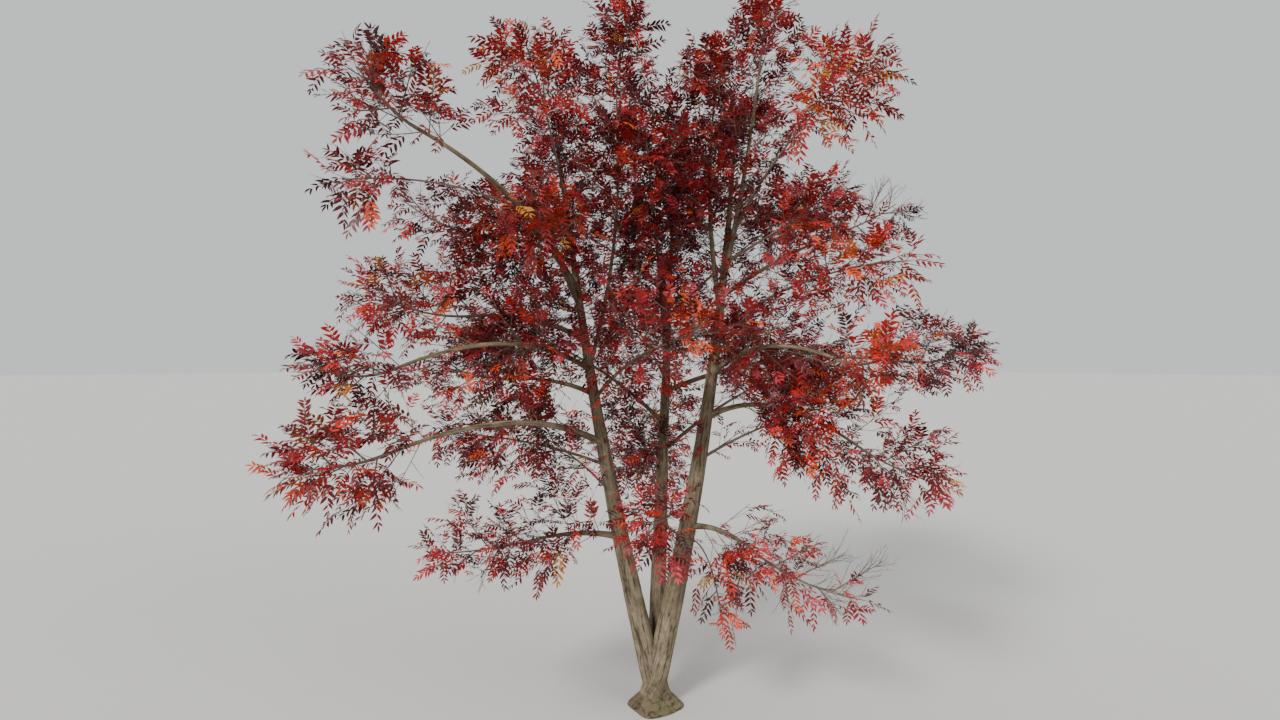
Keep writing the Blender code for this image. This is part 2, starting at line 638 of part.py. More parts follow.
def main():
    """Builds the whole tree under one empty."""
    clear_scene()
    tree = bpy.data.objects.new("sourwood_tree", None)
    bpy.context.scene.collection.objects.link(tree)
    limbs, stems = lay_out()
    built = [build_base([limbs[limb.name] for limb in LIMBS if limb.parent is None])]
    for limb in LIMBS:
        built.append(build_limb(limb, limbs[limb.name], limbs.get(limb.parent)))
    for number, mass in enumerate(MASSES):
        rng = np.random.default_rng(SEED + number)
        space = Space(mass, limbs, stems)
        built.append(build_mass(mass, stems[mass.name], limbs, space, rng))
    for obj in built:
        obj.parent = tree


main()
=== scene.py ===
"""Looks of a sourwood tree in autumn leaf: barked limbs, twigs and sprays of red leaves.

The limbs and the stem of every mass of foliage follow the same rule as the solids. Metres, +Z up.
"""

import json
from collections import namedtuple
from math import cos, pi, radians, sin

import bmesh
import bpy
import numpy as np
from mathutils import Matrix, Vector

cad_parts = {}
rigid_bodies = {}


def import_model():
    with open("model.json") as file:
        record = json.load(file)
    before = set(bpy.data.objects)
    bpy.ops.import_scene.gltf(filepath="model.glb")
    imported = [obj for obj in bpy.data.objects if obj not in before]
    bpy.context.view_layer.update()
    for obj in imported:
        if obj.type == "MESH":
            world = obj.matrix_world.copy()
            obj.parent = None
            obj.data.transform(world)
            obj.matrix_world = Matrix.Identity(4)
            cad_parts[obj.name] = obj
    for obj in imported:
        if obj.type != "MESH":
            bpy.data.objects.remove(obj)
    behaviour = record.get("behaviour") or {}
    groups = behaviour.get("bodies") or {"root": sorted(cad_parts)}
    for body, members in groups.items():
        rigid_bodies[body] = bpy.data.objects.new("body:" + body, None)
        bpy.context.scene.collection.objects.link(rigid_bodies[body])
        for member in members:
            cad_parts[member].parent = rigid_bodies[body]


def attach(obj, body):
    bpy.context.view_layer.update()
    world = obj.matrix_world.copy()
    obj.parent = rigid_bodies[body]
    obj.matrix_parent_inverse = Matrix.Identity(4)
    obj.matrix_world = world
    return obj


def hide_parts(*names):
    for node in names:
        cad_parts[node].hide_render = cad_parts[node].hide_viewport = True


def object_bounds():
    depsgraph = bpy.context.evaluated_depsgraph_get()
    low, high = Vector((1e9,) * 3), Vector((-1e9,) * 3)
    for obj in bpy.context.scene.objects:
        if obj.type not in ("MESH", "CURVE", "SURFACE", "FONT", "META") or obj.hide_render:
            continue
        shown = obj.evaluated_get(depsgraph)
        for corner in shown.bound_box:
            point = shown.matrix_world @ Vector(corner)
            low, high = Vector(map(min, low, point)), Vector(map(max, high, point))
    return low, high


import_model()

cad_low, cad_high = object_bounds()

# Root base: radii and heights of the flare, and the headings of its five roots in degrees. A root's
# rise and reach are shares of the flare's away from roots, and what a root adds to them.
FLARE_MIDDLE = (0.02, 0.03)
FLARE_WAIST = 0.265
WAIST_TAPER = 0.05
FLARE_SPREAD = 0.31
FLARE_HEIGHT = 0.15
FLARE_FADE = 1.4
ROOT_HEADINGS = (178, 252, 352, 62, 122)
ROOT_HALF_WIDTH = 24
ROOT_RISE, ROOT_REACH = (0.8, 0.55), (0.80, 0.28)
FOOT_TOP = 1.02
FOOT_CLOSES_AT = 0.80
FOOT_SIDES = 144
FOOT_RINGS = 110
RINGS_CROWD = 1.3

# How sharply the flare and the stems meet, and how many that reach equally far give no swelling
FOOT_BLEND = 34.0
FOOT_BLENDED = 1.8

# Limbs: the collar as a share of the radius and its run in radii, and the mesh steps on their bark
COLLAR = 0.30
COLLAR_RUN = 2.2
LIMB_ENTERS_AT = 0.80
RING_STEP = 0.034
SIDE_STEP = 0.020
LEAST_SIDES, MOST_SIDES = 14, 80

# Bark: ridges as width and length in millimetres and share of the height. A furrow's depth is a
# share of the limb's radius, up to a most, and lumps are shares of the radius too. Furrows wander
# by the drift, a share of the girth, over the drift's run.
BARK_RIDGES = ((46, 620, 0.55), (20, 260, 0.45))
FURROW_SHARE = 0.055
FURROW_MOST = 0.011
FURROW_STEEPNESS = 2.4
BARK_DRIFT, DRIFT_RUN = 0.10, 0.5
LIMB_LUMPS, LIMB_LUMP_RUN = 0.05, 0.7
FOOT_RIDGES = ((70, 150, 0.55), (32, 60, 0.45))
FOOT_GIRTH, FOOT_LENGTH = 2.2, 1.4
FOOT_FURROW = 0.013
FOOT_LUMPS, LUMPS_ROUND, LUMPS_UP = 0.03, 9, 7

# Foliage of the source's rule. A twig starts inside the rounded form, and one in leaf leaves room at
# its end for the source's leaf.
GOLDEN_ANGLE = radians(137.5)
STEM_REACH = 0.62
STEM_TIP_RADIUS = 0.010
STEM_RING_STEP, STEM_SIDES = 0.12, 10
TWIG_SPREAD = (68, 38)
END_TWIG_SPREAD = 3
TWIG_LIFT = 0.12
TWIG_RADIUS = (0.014, 0.006)
TWIG_LEAST = 0.10
TWIG_FILL, TWIG_BEND = (0.86, 1.0), 0.03
TWIGS_INSIDE, STEM_BARE, TWIG_OFFSET = 0.95, 0.12, 0.3
SOURCE_LEAF = 0.22
TWIG_SLACK = 1.10
CELL_MARGIN = 0.008
LIMB_MARGIN, NEAR_LIMBS = 0.045, 0.9
SEED = 7304
LEAF_SEED = 100

# The fills say how far finer twigs and sprays may go past a mass's rounded form: its own ones, their
# far ends, and those between the masses. Those may also fill the rounded heart of the tree.
MASS_FILL = 1.24
SPRAY_FILL = 1.29
BETWEEN_FILL = 1.48
NO_LIMIT = 9.0
HEART_MIDDLE = (0.1, 0.2, 8.6)
HEART_HALF = (3.6, 3.2, 4.4)
BOX_MARGIN = 0.18

Limb = namedtuple("Limb", "name parent start lift carries root_radius tip_radius")
Mass = namedtuple("Mass", "name centre half grows_from height lift droop stem_radius twigs leafy tint")
Twigs = namedtuple("Twigs", "base way run bend")
Rule = namedtuple("Rule", "spacing spread longest least")

# Rules for side shoots: their spacing along what bears them, their spread from it in degrees, and
# their longest and least run
SHOOTS_ON_STEM = Rule(0.195, 62, 0.66, 0.12)
SHOOTS_ON_TWIG = Rule(0.15, 52, 0.66, 0.12)
BARE_SHOOTS = Rule(0.10, 34, 0.70, 0.12)
LONG_BARE_SHOOTS = Rule(0.26, 32, 0.95, 0.20)
BARE_TIPS = Rule(0.16, 28, 0.30, 0.08)
LONG_ON_MAIN_STEM = Rule(0.21, 58, 1.50, 0.25)
LONG_ON_BOUGH = Rule(0.105, 58, 1.90, 0.25)
FINE_ON_LONG = Rule(0.19, 46, 0.60, 0.12)

# The share of a main stem and of a bough that stays bare, the length of limb that one rule is applied
# to, the parts of a mass's stem, and the least and actual shares of shoots in leaf
MAIN_STEM_BARE, BOUGH_BARE = 0.42, 0.20
LIMB_PART, STEM_PARTS = 0.4, 6
LEAFY_LEAST, LEAFY_LONG, LEAFY_FINE = 0.25, 0.75, 0.62

# Every shoot: where the first and last ones are, and by what share one at the far end is shorter.
# The ranges say how much its spread and run vary, and the next three how it lifts and bends. The
# last are the shares of its run where its room is tested.
SHOOTS_FROM, SPRAYS_FROM = (0.10, 0.96), (0.15, 1.0)
SHORTER_AT_END = 0.45
SPREAD_VARIES, RUN_VARIES = (0.75, 1.15), (0.6, 1.0)
SHOOT_LIFT, SHOOT_BEND, SHOOT_RISE = 0.10, 0.06, 0.05
SHOOT_TESTED_AT, SPRAY_TESTED_AT = (0.35, 0.7, 1.0), (0.4, 0.75, 1.0)

# Radii at root and tip
LONG_RADIUS = (0.009, 0.004)
SHOOT_RADIUS = (0.0062, 0.0032)
SPRAY_RADIUS = (0.0030, 0.0014)

# Sprays: their spacing on a shoot, and by how much it is wider on twigs and between the masses
SPRAY_SPACING = 0.135
ON_TWIGS, ON_LONG, ON_FINE = 1.5, 2.2, 1.9
SPRAY_SPREAD = 48
SPRAY_LENGTH = (0.30, 0.46)
SPRAY_ROOM, SPRAY_LEAST = 0.644, 0.10
SPRAY_CLEAR = 0.03
SPRAY_TURN, SPRAY_BEND, SPRAY_DROOP, SPRAY_TILT = 0.12, 0.05, 0.20, 0.7
SPRAY_LEAVES = 11
LEAVES_FROM, LEAF_STAGGER, LEAF_JITTER = (0.16, 0.93), 0.03, 0.008

# A sourwood leaf is long and narrow, widest below its middle, with a folded midrib and a bent tip.
# Its seven points are given along it, across it as shares of its width, and above it.
LEAF_LENGTH, LENGTH_VARIES = 0.145, (0.82, 1.12)
LEAF_WIDTH = 0.31
LEAF_ANGLE, ANGLE_VARIES, END_LEAF_ANGLE = 50, 7, 0.05
LEAF_TILT, LEAF_DROP = 0.22, 0.30
END_SIZE, MIDDLE_GAIN, SIZE_RISE = 0.62, 0.42, (0.12, 0.80)
LEAF_ALONG = (0, 1, 0.46, 0.24, 0.62, 0.24, 0.62)
LEAF_ACROSS = (0, 0, 0, 0.46, 0.40, -0.46, -0.40)
LEAF_ABOVE = (0, -0.10, -0.015, 0.035, 0.015, 0.035, 0.015)
LEAF_FACES = ((0, 2, 3), (3, 2, 4), (4, 2, 1), (0, 5, 2), (5, 6, 2), (6, 1, 2))

# A stem starts at a foot, and a leader or bough at a height on its parent. Each leaves at an angle
# above level and ends where it enters the mass that it carries.
LIMBS = (
    Limb("stem_left", None, (0.03, -0.03, 0.25), 76, "foliage_left_top", 0.232, 0.040),
    Limb("stem_right", None, (-0.06, -0.05, 0.25), 76, "foliage_right_top", 0.252, 0.040),
    Limb("stem_middle", None, (0.01, 0.18, 0.25), 81, "foliage_back_top", 0.205, 0.032),
    Limb("leader_left_outer", "stem_left", 8.30, 50, "foliage_horn", 0.078, 0.030),
    Limb("leader_left_inner", "stem_left", 6.85, 68, "foliage_top_middle", 0.046, 0.020),
    Limb("leader_right_inner", "stem_right", 8.05, 76, "foliage_top_right_inner", 0.062, 0.022),
    Limb("leader_right_outer", "stem_right", 8.60, 68, "foliage_top_right", 0.062, 0.022),
    Limb("leader_middle", "stem_middle", 6.75, 72, "foliage_centre_high", 0.064, 0.022),
    Limb("bough_left_lowest", "stem_left", 3.40, 18, "foliage_left_low", 0.072, 0.028),
    Limb("bough_left_far", "stem_left", 5.30, 26, "foliage_left_far", 0.074, 0.028),
    Limb("bough_left_inner", "stem_left", 6.30, 26, "foliage_left_inner", 0.055, 0.026),
    Limb("bough_left_near", "stem_left", 6.80, 26, "foliage_left_near", 0.060, 0.025),
    Limb("bough_left_upper", "stem_left", 7.40, 30, "foliage_left_upper", 0.064, 0.028),
    Limb("bough_left_high", "stem_left", 8.95, 34, "foliage_left_high", 0.056, 0.025),
    Limb("bough_right_lowest", "stem_right", 3.60, 14, "foliage_right_low", 0.070, 0.028),
    Limb("bough_right_drooping", "stem_right", 5.80, 32, "foliage_right_drooping", 0.062, 0.026),
    Limb("bough_right_near", "stem_right", 6.70, 30, "foliage_right_near", 0.052, 0.022),
    Limb("bough_right_high", "stem_right", 8.30, 36, "foliage_right_fan", 0.052, 0.022),
    Limb("bough_right_far", "stem_middle", 6.30, 24, "foliage_right_far", 0.060, 0.026),
    Limb("bough_crossing", "stem_left", 6.20, 38, "foliage_sprig", 0.044, 0.017),
)

# Each mass has a middle and half sizes to the right, to the back and upwards. It grows from its
# limb's tip, or from a height on a stem. Droop turns its far end down, and leafy is the share of
# its twigs that bear leaves.
MASSES = (
    Mass("foliage_horn", (-3.89, -4.0, 10.73), (0.98, 0.80, 0.68), "leader_left_outer",
         None, 0, 0, 0.030, 6, 1.0, "crimson"),
    Mass("foliage_hook", (-4.15, -3.9, 9.50), (0.70, 0.62, 0.58), "leader_left_outer",
         9.70, 10, 0, 0.024, 6, 1.0, "crimson"),
    Mass("foliage_left_high", (-4.01, -0.5, 9.70), (1.08, 0.95, 0.82), "bough_left_high",
         None, 0, 0, 0.025, 6, 0.7, "russet"),
    Mass("foliage_high_left", (-2.02, -2.5, 11.59), (1.10, 0.90, 0.72), "stem_left",
         9.70, 50, 0, 0.030, 7, 1.0, "scarlet"),
    Mass("foliage_top_middle", (-0.65, -0.5, 12.82), (1.05, 1.00, 1.12), "leader_left_inner",
         None, 0, 0, 0.020, 6, 1.0, "crimson"),
    Mass("foliage_top_right_inner", (1.16, 0.0, 12.65), (0.78, 0.85, 0.84), "leader_right_inner",
         None, 0, 0, 0.022, 6, 1.0, "scarlet"),
    Mass("foliage_top_right", (2.04, -1.0, 13.07), (0.70, 0.70, 0.70), "leader_right_outer",
         None, 0, 0, 0.022, 6, 1.0, "scarlet"),
    Mass("foliage_high_right", (2.95, -2.5, 11.30), (0.88, 0.90, 1.14), "leader_right_outer",
         9.55, 50, 0, 0.032, 7, 1.0, "orange"),
    Mass("foliage_right_top", (1.72, 0.2, 11.64), (0.92, 0.90, 0.88), "stem_right",
         None, 0, 0, 0.040, 6, 0.9, "crimson"),
    Mass("foliage_left_top", (-1.99, 0.1, 11.23), (1.22, 1.05, 1.04), "stem_left",
         None, 0, 0, 0.040, 7, 0.9, "crimson"),
    Mass("foliage_centre_left", (-2.01, -1.5, 9.30), (1.00, 0.85, 0.74), "stem_left",
         7.95, 40, 0, 0.028, 6, 1.0, "orange"),
    Mass("foliage_centre_high", (-0.15, -1.0, 10.90), (0.95, 0.90, 0.88), "leader_middle",
         None, 0, 0, 0.022, 6, 1.0, "crimson"),
    Mass("foliage_centre_low", (-0.06, 0.0, 9.48), (0.98, 0.90, 0.86), "stem_right",
         7.65, 52, 0, 0.026, 6, 0.8, "russet"),
    Mass("foliage_right_high", (2.85, -1.0, 9.72), (0.98, 0.90, 0.88), "leader_right_outer",
         9.00, 26, 0, 0.030, 6, 1.0, "scarlet"),
    Mass("foliage_right_fan", (4.66, 0.5, 10.06), (0.90, 0.85, 0.72), "bough_right_high",
         None, 0, 0, 0.022, 5, 0.3, "russet"),
    Mass("foliage_right_upper", (3.28, -2.5, 8.41), (1.05, 0.90, 0.64), "stem_right",
         7.55, 30, 0, 0.036, 6, 1.0, "orange"),
    Mass("foliage_right_near", (3.01, -3.7, 7.03), (0.62, 0.70, 0.56), "bough_right_near",
         None, 0, 0, 0.022, 6, 1.0, "orange"),
    Mass("foliage_right_far", (6.00, 0.5, 7.08), (1.02, 0.95, 0.86), "bough_right_far",
         None, 0, 0, 0.026, 6, 1.0, "russet"),
    Mass("foliage_right_middle", (2.64, -1.0, 5.88), (1.00, 1.00, 1.32), "stem_right",
         4.95, 34, 0, 0.034, 7, 1.0, "scarlet"),
    Mass("foliage_right_drooping", (4.34, -1.5, 5.35), (0.92, 0.95, 1.10), "bough_right_drooping",
         None, 0, 0.45, 0.026, 6, 0.8, "crimson"),
    Mass("foliage_left_upper", (-4.46, -1.0, 8.05), (1.36, 1.05, 0.86), "bough_left_upper",
         None, 0, 0, 0.028, 7, 1.0, "scarlet"),
    Mass("foliage_left_near", (-4.40, -3.8, 6.86), (0.80, 0.70, 0.54), "bough_left_near",
         None, 0, 0, 0.025, 6, 1.0, "crimson"),
    Mass("foliage_left_far", (-4.45, -4.0, 5.66), (0.88, 0.80, 0.88), "bough_left_far",
         None, 0, 0.25, 0.028, 6, 1.0, "scarlet"),
    Mass("foliage_left_inner", (-3.66, -0.7, 6.85), (1.38, 1.00, 0.74), "bough_left_inner",
         None, 0, 0, 0.026, 6, 0.8, "crimson"),
    Mass("foliage_left_middle", (-3.21, -1.0, 5.50), (0.96, 0.95, 0.88), "stem_left",
         4.85, 24, 0, 0.036, 6, 0.9, "crimson"),
    Mass("foliage_left_stem_side", (-1.86, -0.5, 5.20), (0.88, 0.85, 1.42), "stem_left",
         4.25, 50, 0, 0.028, 7, 0.8, "russet"),
    Mass("foliage_left_low", (-3.11, -1.0, 3.62), (1.18, 0.95, 0.84), "bough_left_lowest",
         None, 0, 0.3, 0.028, 6, 0.7, "crimson"),
    Mass("foliage_front_low", (0.06, -1.5, 3.98), (0.92, 0.85, 0.78), "stem_right",
         3.80, 24, 0, 0.026, 6, 1.0, "crimson"),
    Mass("foliage_middle", (-0.19, 0.6, 5.30), (0.86, 0.85, 1.18), "stem_middle",
         4.50, 45, 0, 0.026, 6, 0.9, "russet"),
    Mass("foliage_sprig", (0.57, -2.5, 7.49), (0.46, 0.46, 0.60), "bough_crossing",
         None, 0, 0, 0.017, 5, 1.0, "orange"),
    Mass("foliage_right_low", (2.85, -1.0, 3.06), (1.56, 1.05, 0.92), "bough_right_lowest",
         None, 0, 0.35, 0.028, 7, 0.5, "scarlet"),
    Mass("foliage_hanging", (1.24, -1.0, 2.50), (0.46, 0.46, 0.86), "stem_right",
         3.35, 20, 0.9, 0.018, 5, 1.0, "orange"),
    Mass("foliage_back_left_high", (-2.60, 3.0, 10.60), (1.25, 1.15, 1.05), "stem_middle",
         8.60, 36, 0, 0.038, 7, 1.0, "russet"),
    Mass("foliage_back_right_high", (3.25, 3.0, 10.45), (1.25, 1.15, 1.05), "stem_middle",
         8.00, 42, 0, 0.040, 7, 1.0, "crimson"),
    Mass("foliage_back_left", (-3.61, 3.4, 7.59), (1.35, 1.25, 1.05), "stem_middle",
         5.60, 40, 0, 0.048, 7, 1.0, "crimson"),
    Mass("foliage_back_right", (3.60, 3.2, 6.59), (1.30, 1.25, 1.15), "stem_middle",
         5.00, 34, 0, 0.048, 7, 1.0, "russet"),
    Mass("foliage_back_low", (-0.04, 3.6, 4.33), (1.55, 1.10, 1.02), "stem_middle",
         3.30, 36, 0, 0.042, 7, 1.0, "scarlet"),
    Mass("foliage_back_middle", (-0.59, 4.2, 8.01), (1.15, 1.10, 1.06), "stem_middle",
         6.55, 34, 0, 0.036, 7, 1.0, "scarlet"),
    Mass("foliage_back_top", (0.51, 2.3, 11.23), (1.10, 1.05, 1.10), "stem_middle",
         None, 0, 0, 0.032, 6, 1.0, "russet"),
)

# Each leaf tint: its deep and its bright colour, its roughness and its slot
LEAF_FINISHES = {
    "crimson": ("5e0710", "9c0f18", 0.50, "leaves_crimson"),
    "scarlet": ("840e0c", "c41e10", 0.48, "leaves_scarlet"),
    "russet": ("3c070c", "6a0c12", 0.54, "leaves_russet"),
    "orange": ("a02a08", "dc4c10", 0.50, "leaves_orange"),
    "rose": ("8c101e", "c23240", 0.48, "leaves_scarlet"),
    "amber": ("b06410", "dc9c34", 0.52, "leaves_orange"),
}
TINTS = tuple(LEAF_FINISHES)

# For each mass's tint, the share of its sprays that take each leaf tint, in the order above
TINT_SHARES = {
    "crimson": (0.46, 0.20, 0.20, 0.04, 0.09, 0.01),
    "scarlet": (0.22, 0.44, 0.08, 0.12, 0.12, 0.02),
    "orange": (0.12, 0.30, 0.03, 0.40, 0.08, 0.07),
    "russet": (0.28, 0.10, 0.50, 0.02, 0.09, 0.01),
}

# Stage: the floor, the suns as strength, turn in degrees and width in degrees, and the camera
FLOOR_RADIUS, FLOOR_SIDES = 400, 96
SUNS = {"key": (2.6, (52, 0, -38), 14), "fill": (0.8, (60, 0, 60), 30)}
SKY_STRENGTH = 0.88
CAMERA_AT = (-0.30, -13.0, 7.0)
LENS, SENSOR_WIDTH = 18, 36


def unit(vector):
    """The vector at length one."""
    return vector / np.linalg.norm(vector, axis=-1, keepdims=True)


def curve(start, control, end, t):
    """Points of the quadratic curve that leaves start towards control and comes into end from it."""
    t = np.asarray(t, dtype=float)[..., None]
    return (1 - t) ** 2 * start + 2 * t * (1 - t) * control + t**2 * end


def departure(start, towards, lift):
    """The direction that heads level from start to a point, raised by lift degrees."""
    level = unit((towards - start) * (1, 1, 0))
    return level * cos(radians(lift)) + np.array((0, 0, sin(radians(lift))))


class Path:
    """A limb's centre line, a quadratic curve, with its radius at each point."""

    def __init__(self, start, leave, end, root, tip, collar=0.0):
        self.start, self.end = np.array(start, float), np.array(end, float)
        self.control = self.start + leave * 0.5 * np.linalg.norm(self.end - self.start)
        self.root, self.tip, self.collar = root, tip, collar
        steps = self.at(np.linspace(0, 1, 65))
        self.length = np.linalg.norm(np.diff(steps, axis=0), axis=1).sum()

    def at(self, t):
        """Points at the parameters t."""
        return curve(self.start, self.control, self.end, t)

    def towards(self, t):
        """Unit tangents at the parameters t."""
        t = np.asarray(t, dtype=float)[..., None]
        return unit((1 - t) * (self.control - self.start) + t * (self.end - self.control))

    def radius(self, t):
        """Radii: a nearly even taper, with a collar that swells the first few widths."""
        t = np.asarray(t, float)
        swell = self.collar * self.root * np.exp(-t * self.length / (COLLAR_RUN * self.root))
        return self.tip + (self.root - self.tip) * (1 - t) ** 1.05 + swell

    def at_height(self, height):
        """The parameter where a rising path reaches a height."""
        t = np.linspace(0, 1, 400)
        return float(np.interp(height, self.at(t)[:, 2], t))


def lay_out():
    """The path of every limb and of every mass's own stem, by name."""
    masses = {mass.name: mass for mass in MASSES}
    limbs, stems = {}, {}
    for limb in LIMBS:
        mass = masses[limb.carries]
        centre, half = np.array(mass.centre), np.array(mass.half)
        if limb.parent:
            parent = limbs[limb.parent]
            start = parent.at(parent.at_height(limb.start))
        else:
            start = np.array(limb.start)
        away = start - centre
        tip = centre + away * LIMB_ENTERS_AT / np.linalg.norm(away / half)
        limbs[limb.name] = Path(
            start, departure(start, tip, limb.lift), tip, limb.root_radius, limb.tip_radius,
            COLLAR if limb.parent else 0.0,
        )
    for mass in MASSES:
        centre, half = np.array(mass.centre), np.array(mass.half)
        limb = limbs[mass.grows_from]
        if mass.height is None:
            leave, start = limb.towards(1.0), limb.end
            outward, collar = centre - limb.start, 0.0
        else:
            start = limb.at(limb.at_height(mass.height))
            leave = departure(start, centre, mass.lift)
            outward, collar = centre - start, COLLAR
        outward = unit(outward / half) * (1 - mass.droop) + np.array((0, 0, -mass.droop))
        end = centre + unit(outward) * half * STEM_REACH
        stems[mass.name] = Path(start, leave, end, mass.stem_radius, STEM_TIP_RADIUS, collar)
    return limbs, stems


def sampled(lines, step):
    """Points on centre lines, about a step apart, and the radius at each."""
    fine = [np.linspace(0, 1, int(line.length / step) + 2) for line in lines]
    points = np.concatenate([line.at(t) for line, t in zip(lines, fine)])
    return points, np.concatenate([line.radius(t) for line, t in zip(lines, fine)])


class Space:
    """The room that a mass may fill: its rounded form, its own cell, and clear of every limb.

    A cell ends at the planes between its middle and every other mass's, nearer to the smaller one.
    """

    def __init__(self, mass, limbs, stems):
        self.centre, self.half = np.array(mass.centre), np.array(mass.half)
        others = [other for other in MASSES if other is not mass]
        middles = np.array([other.centre for other in others])
        widths = np.array([np.mean(other.half) for other in others])
        apart = middles - self.centre
        gap = np.linalg.norm(apart, axis=1)
        share = 0.5 + (np.mean(self.half) ** 2 - widths**2) / (2 * gap**2)
        self.normals = apart / gap[:, None]
        self.limits = gap * share - CELL_MARGIN
        lines = [*limbs.values(), *(path for name, path in stems.items() if name != mass.name)]
        points, radii = sampled(lines, 0.08)
        near = np.linalg.norm((points - self.centre) / (self.half + NEAR_LIMBS), axis=1) < 1
        self.line_points, self.line_radii = points[near], radii[near]

    def reach(self, point, direction, fill=1.0):
        """How far the rounded form, grown by fill, goes on from points in their directions: the far
        root of the equation for where a line crosses an ellipsoid."""
        p, d = (point - self.centre) / (self.half * fill), direction / (self.half * fill)
        a, b, c = (d * d).sum(-1), (p * d).sum(-1), (p * p).sum(-1) - 1
        return (-b + np.sqrt(np.maximum(b * b - a * c, 0))) / a

    def free(self, points, slack, margin=LIMB_MARGIN):
        """For rows of points, whether the whole row lies in the form grown by slack, in the cell and
        the box, and clear of the limbs by the margin."""
        flat = points.reshape(-1, 3)
        good = np.linalg.norm((flat - self.centre) / self.half, axis=1) < slack
        good &= ((flat - self.centre) @ self.normals.T < self.limits).all(axis=1)
        good &= in_box(flat)
        if len(self.line_points):
            apart = np.linalg.norm(flat[:, None] - self.line_points, axis=2) - self.line_radii
            good &= apart.min(axis=1) > margin
        return good.reshape(points.shape[:-1]).all(axis=-1)


class BetweenMasses:
    """The room between the masses: near one of them or in the tree's heart, and clear of limbs."""

    def __init__(self, limbs, stems):
        self.centres = np.array([mass.centre for mass in MASSES])
        self.halves = np.array([mass.half for mass in MASSES])
        self.line_points, self.line_radii = sampled([*limbs.values(), *stems.values()], 0.10)

    def reach(self, point, direction, fill=1.0):
        """No form bounds these twigs, so only their longest run does."""
        return np.full(len(point), NO_LIMIT)

    def free(self, points, slack, margin=LIMB_MARGIN):
        """For rows of points, whether the whole row is in that room. The slack of a mass's own room
        doesn't apply. Points are taken in parts, so that the arrays of distances stay small."""
        flat = points.reshape(-1, 3)
        good = in_box(flat)
        for part in np.array_split(np.arange(len(flat)), len(flat) // 1500 + 1):
            near = np.linalg.norm((flat[part, None] - self.centres) / self.halves, axis=2).min(axis=1)
            apart = np.linalg.norm(flat[part, None] - self.line_points, axis=2) - self.line_radii
            heart = np.linalg.norm((flat[part] - HEART_MIDDLE) / HEART_HALF, axis=1)
            good[part] &= ((near < BETWEEN_FILL) | (heart < 1)) & (apart.min(axis=1) > margin)
        return good.reshape(points.shape[:-1]).all(axis=-1)


def in_box(points):
    """Whether points lie in the solids' box, or past it by less than fabric may stand proud."""
    low, high = np.array(cad_low) - BOX_MARGIN, np.array(cad_high) + BOX_MARGIN
    return ((points > low) & (points < high)).all(axis=1)


def across(direction, roll):
    """Unit vectors across the directions: level at roll 0, turned about them by roll."""
    side = np.cross(direction, (0, 0, 1.0))
    steep = np.linalg.norm(side, axis=-1, keepdims=True) < 0.2
    side = unit(np.where(steep, (1.0, 0, 0), side))
    up = np.cross(side, direction)
    roll = np.asarray(roll)[..., None]
    return side * np.cos(roll) + up * np.sin(roll)


def line_points(twigs, t):
    """Points on each twig at shares t: straight on from its base, bent by the square of t."""
    t = np.asarray(t, float)[..., None]
    run = twigs.run[:, None, None]
    return twigs.base[:, None] + run * (twigs.way[:, None] * t + twigs.bend[:, None] * t**2)


def chosen(twigs, keep):
    """The twigs for which keep is true."""
    return Twigs(*(column[keep] for column in twigs))


def joined(parts):
    """Several sets of twigs as one."""
    return Twigs(*(np.concatenate(columns) for columns in zip(*parts)))


def main_twigs(mass, path, space, rng):
    """The twigs of the source's rule: even steps up the stem, turned by the golden angle. Draws
    whose value isn't used keep the random numbers in step with the source."""
    steps = np.linspace(0, 1, 60)
    depth = np.linalg.norm((path.at(steps) - space.centre) / space.half, axis=1)
    first = max(steps[np.argmax(depth < TWIGS_INSIDE)], STEM_BARE)
    turn = rng.uniform(0, 2 * pi)
    rows, bares = [], []
    for k in range(mass.twigs + 1):
        ahead = (k + TWIG_OFFSET) / (mass.twigs + TWIG_OFFSET)
        t = first + (1 - first) * ahead
        base, tangent = path.at(t), path.towards(t)
        spread = radians(np.interp(ahead, (0, 1), TWIG_SPREAD) if ahead < 1 else END_TWIG_SPREAD)
        side = across(tangent, turn + k * GOLDEN_ANGLE)
        way = unit(tangent * cos(spread) + side * sin(spread) + (0, 0, TWIG_LIFT))
        room = space.reach(base, way) * rng.uniform(*TWIG_FILL)
        rng.uniform(0.86, 1.1)
        bare = rng.uniform() > mass.leafy
        rng.uniform(-0.6, 0.6, 4)
        run = room if bare else room - SOURCE_LEAF
        points = (base + way * np.linspace(0.04, max(run, 0.05), 24)[:, None])[None]
        if run < TWIG_LEAST or not space.free(points, TWIG_SLACK)[0]:
            continue
        rows.append((base, way, run, rng.normal(0, TWIG_BEND, 3)))
        bares.append(bare)
    columns = [np.array(column, float) for column in zip(*rows)]
    return Twigs(*columns), np.array(bares), first


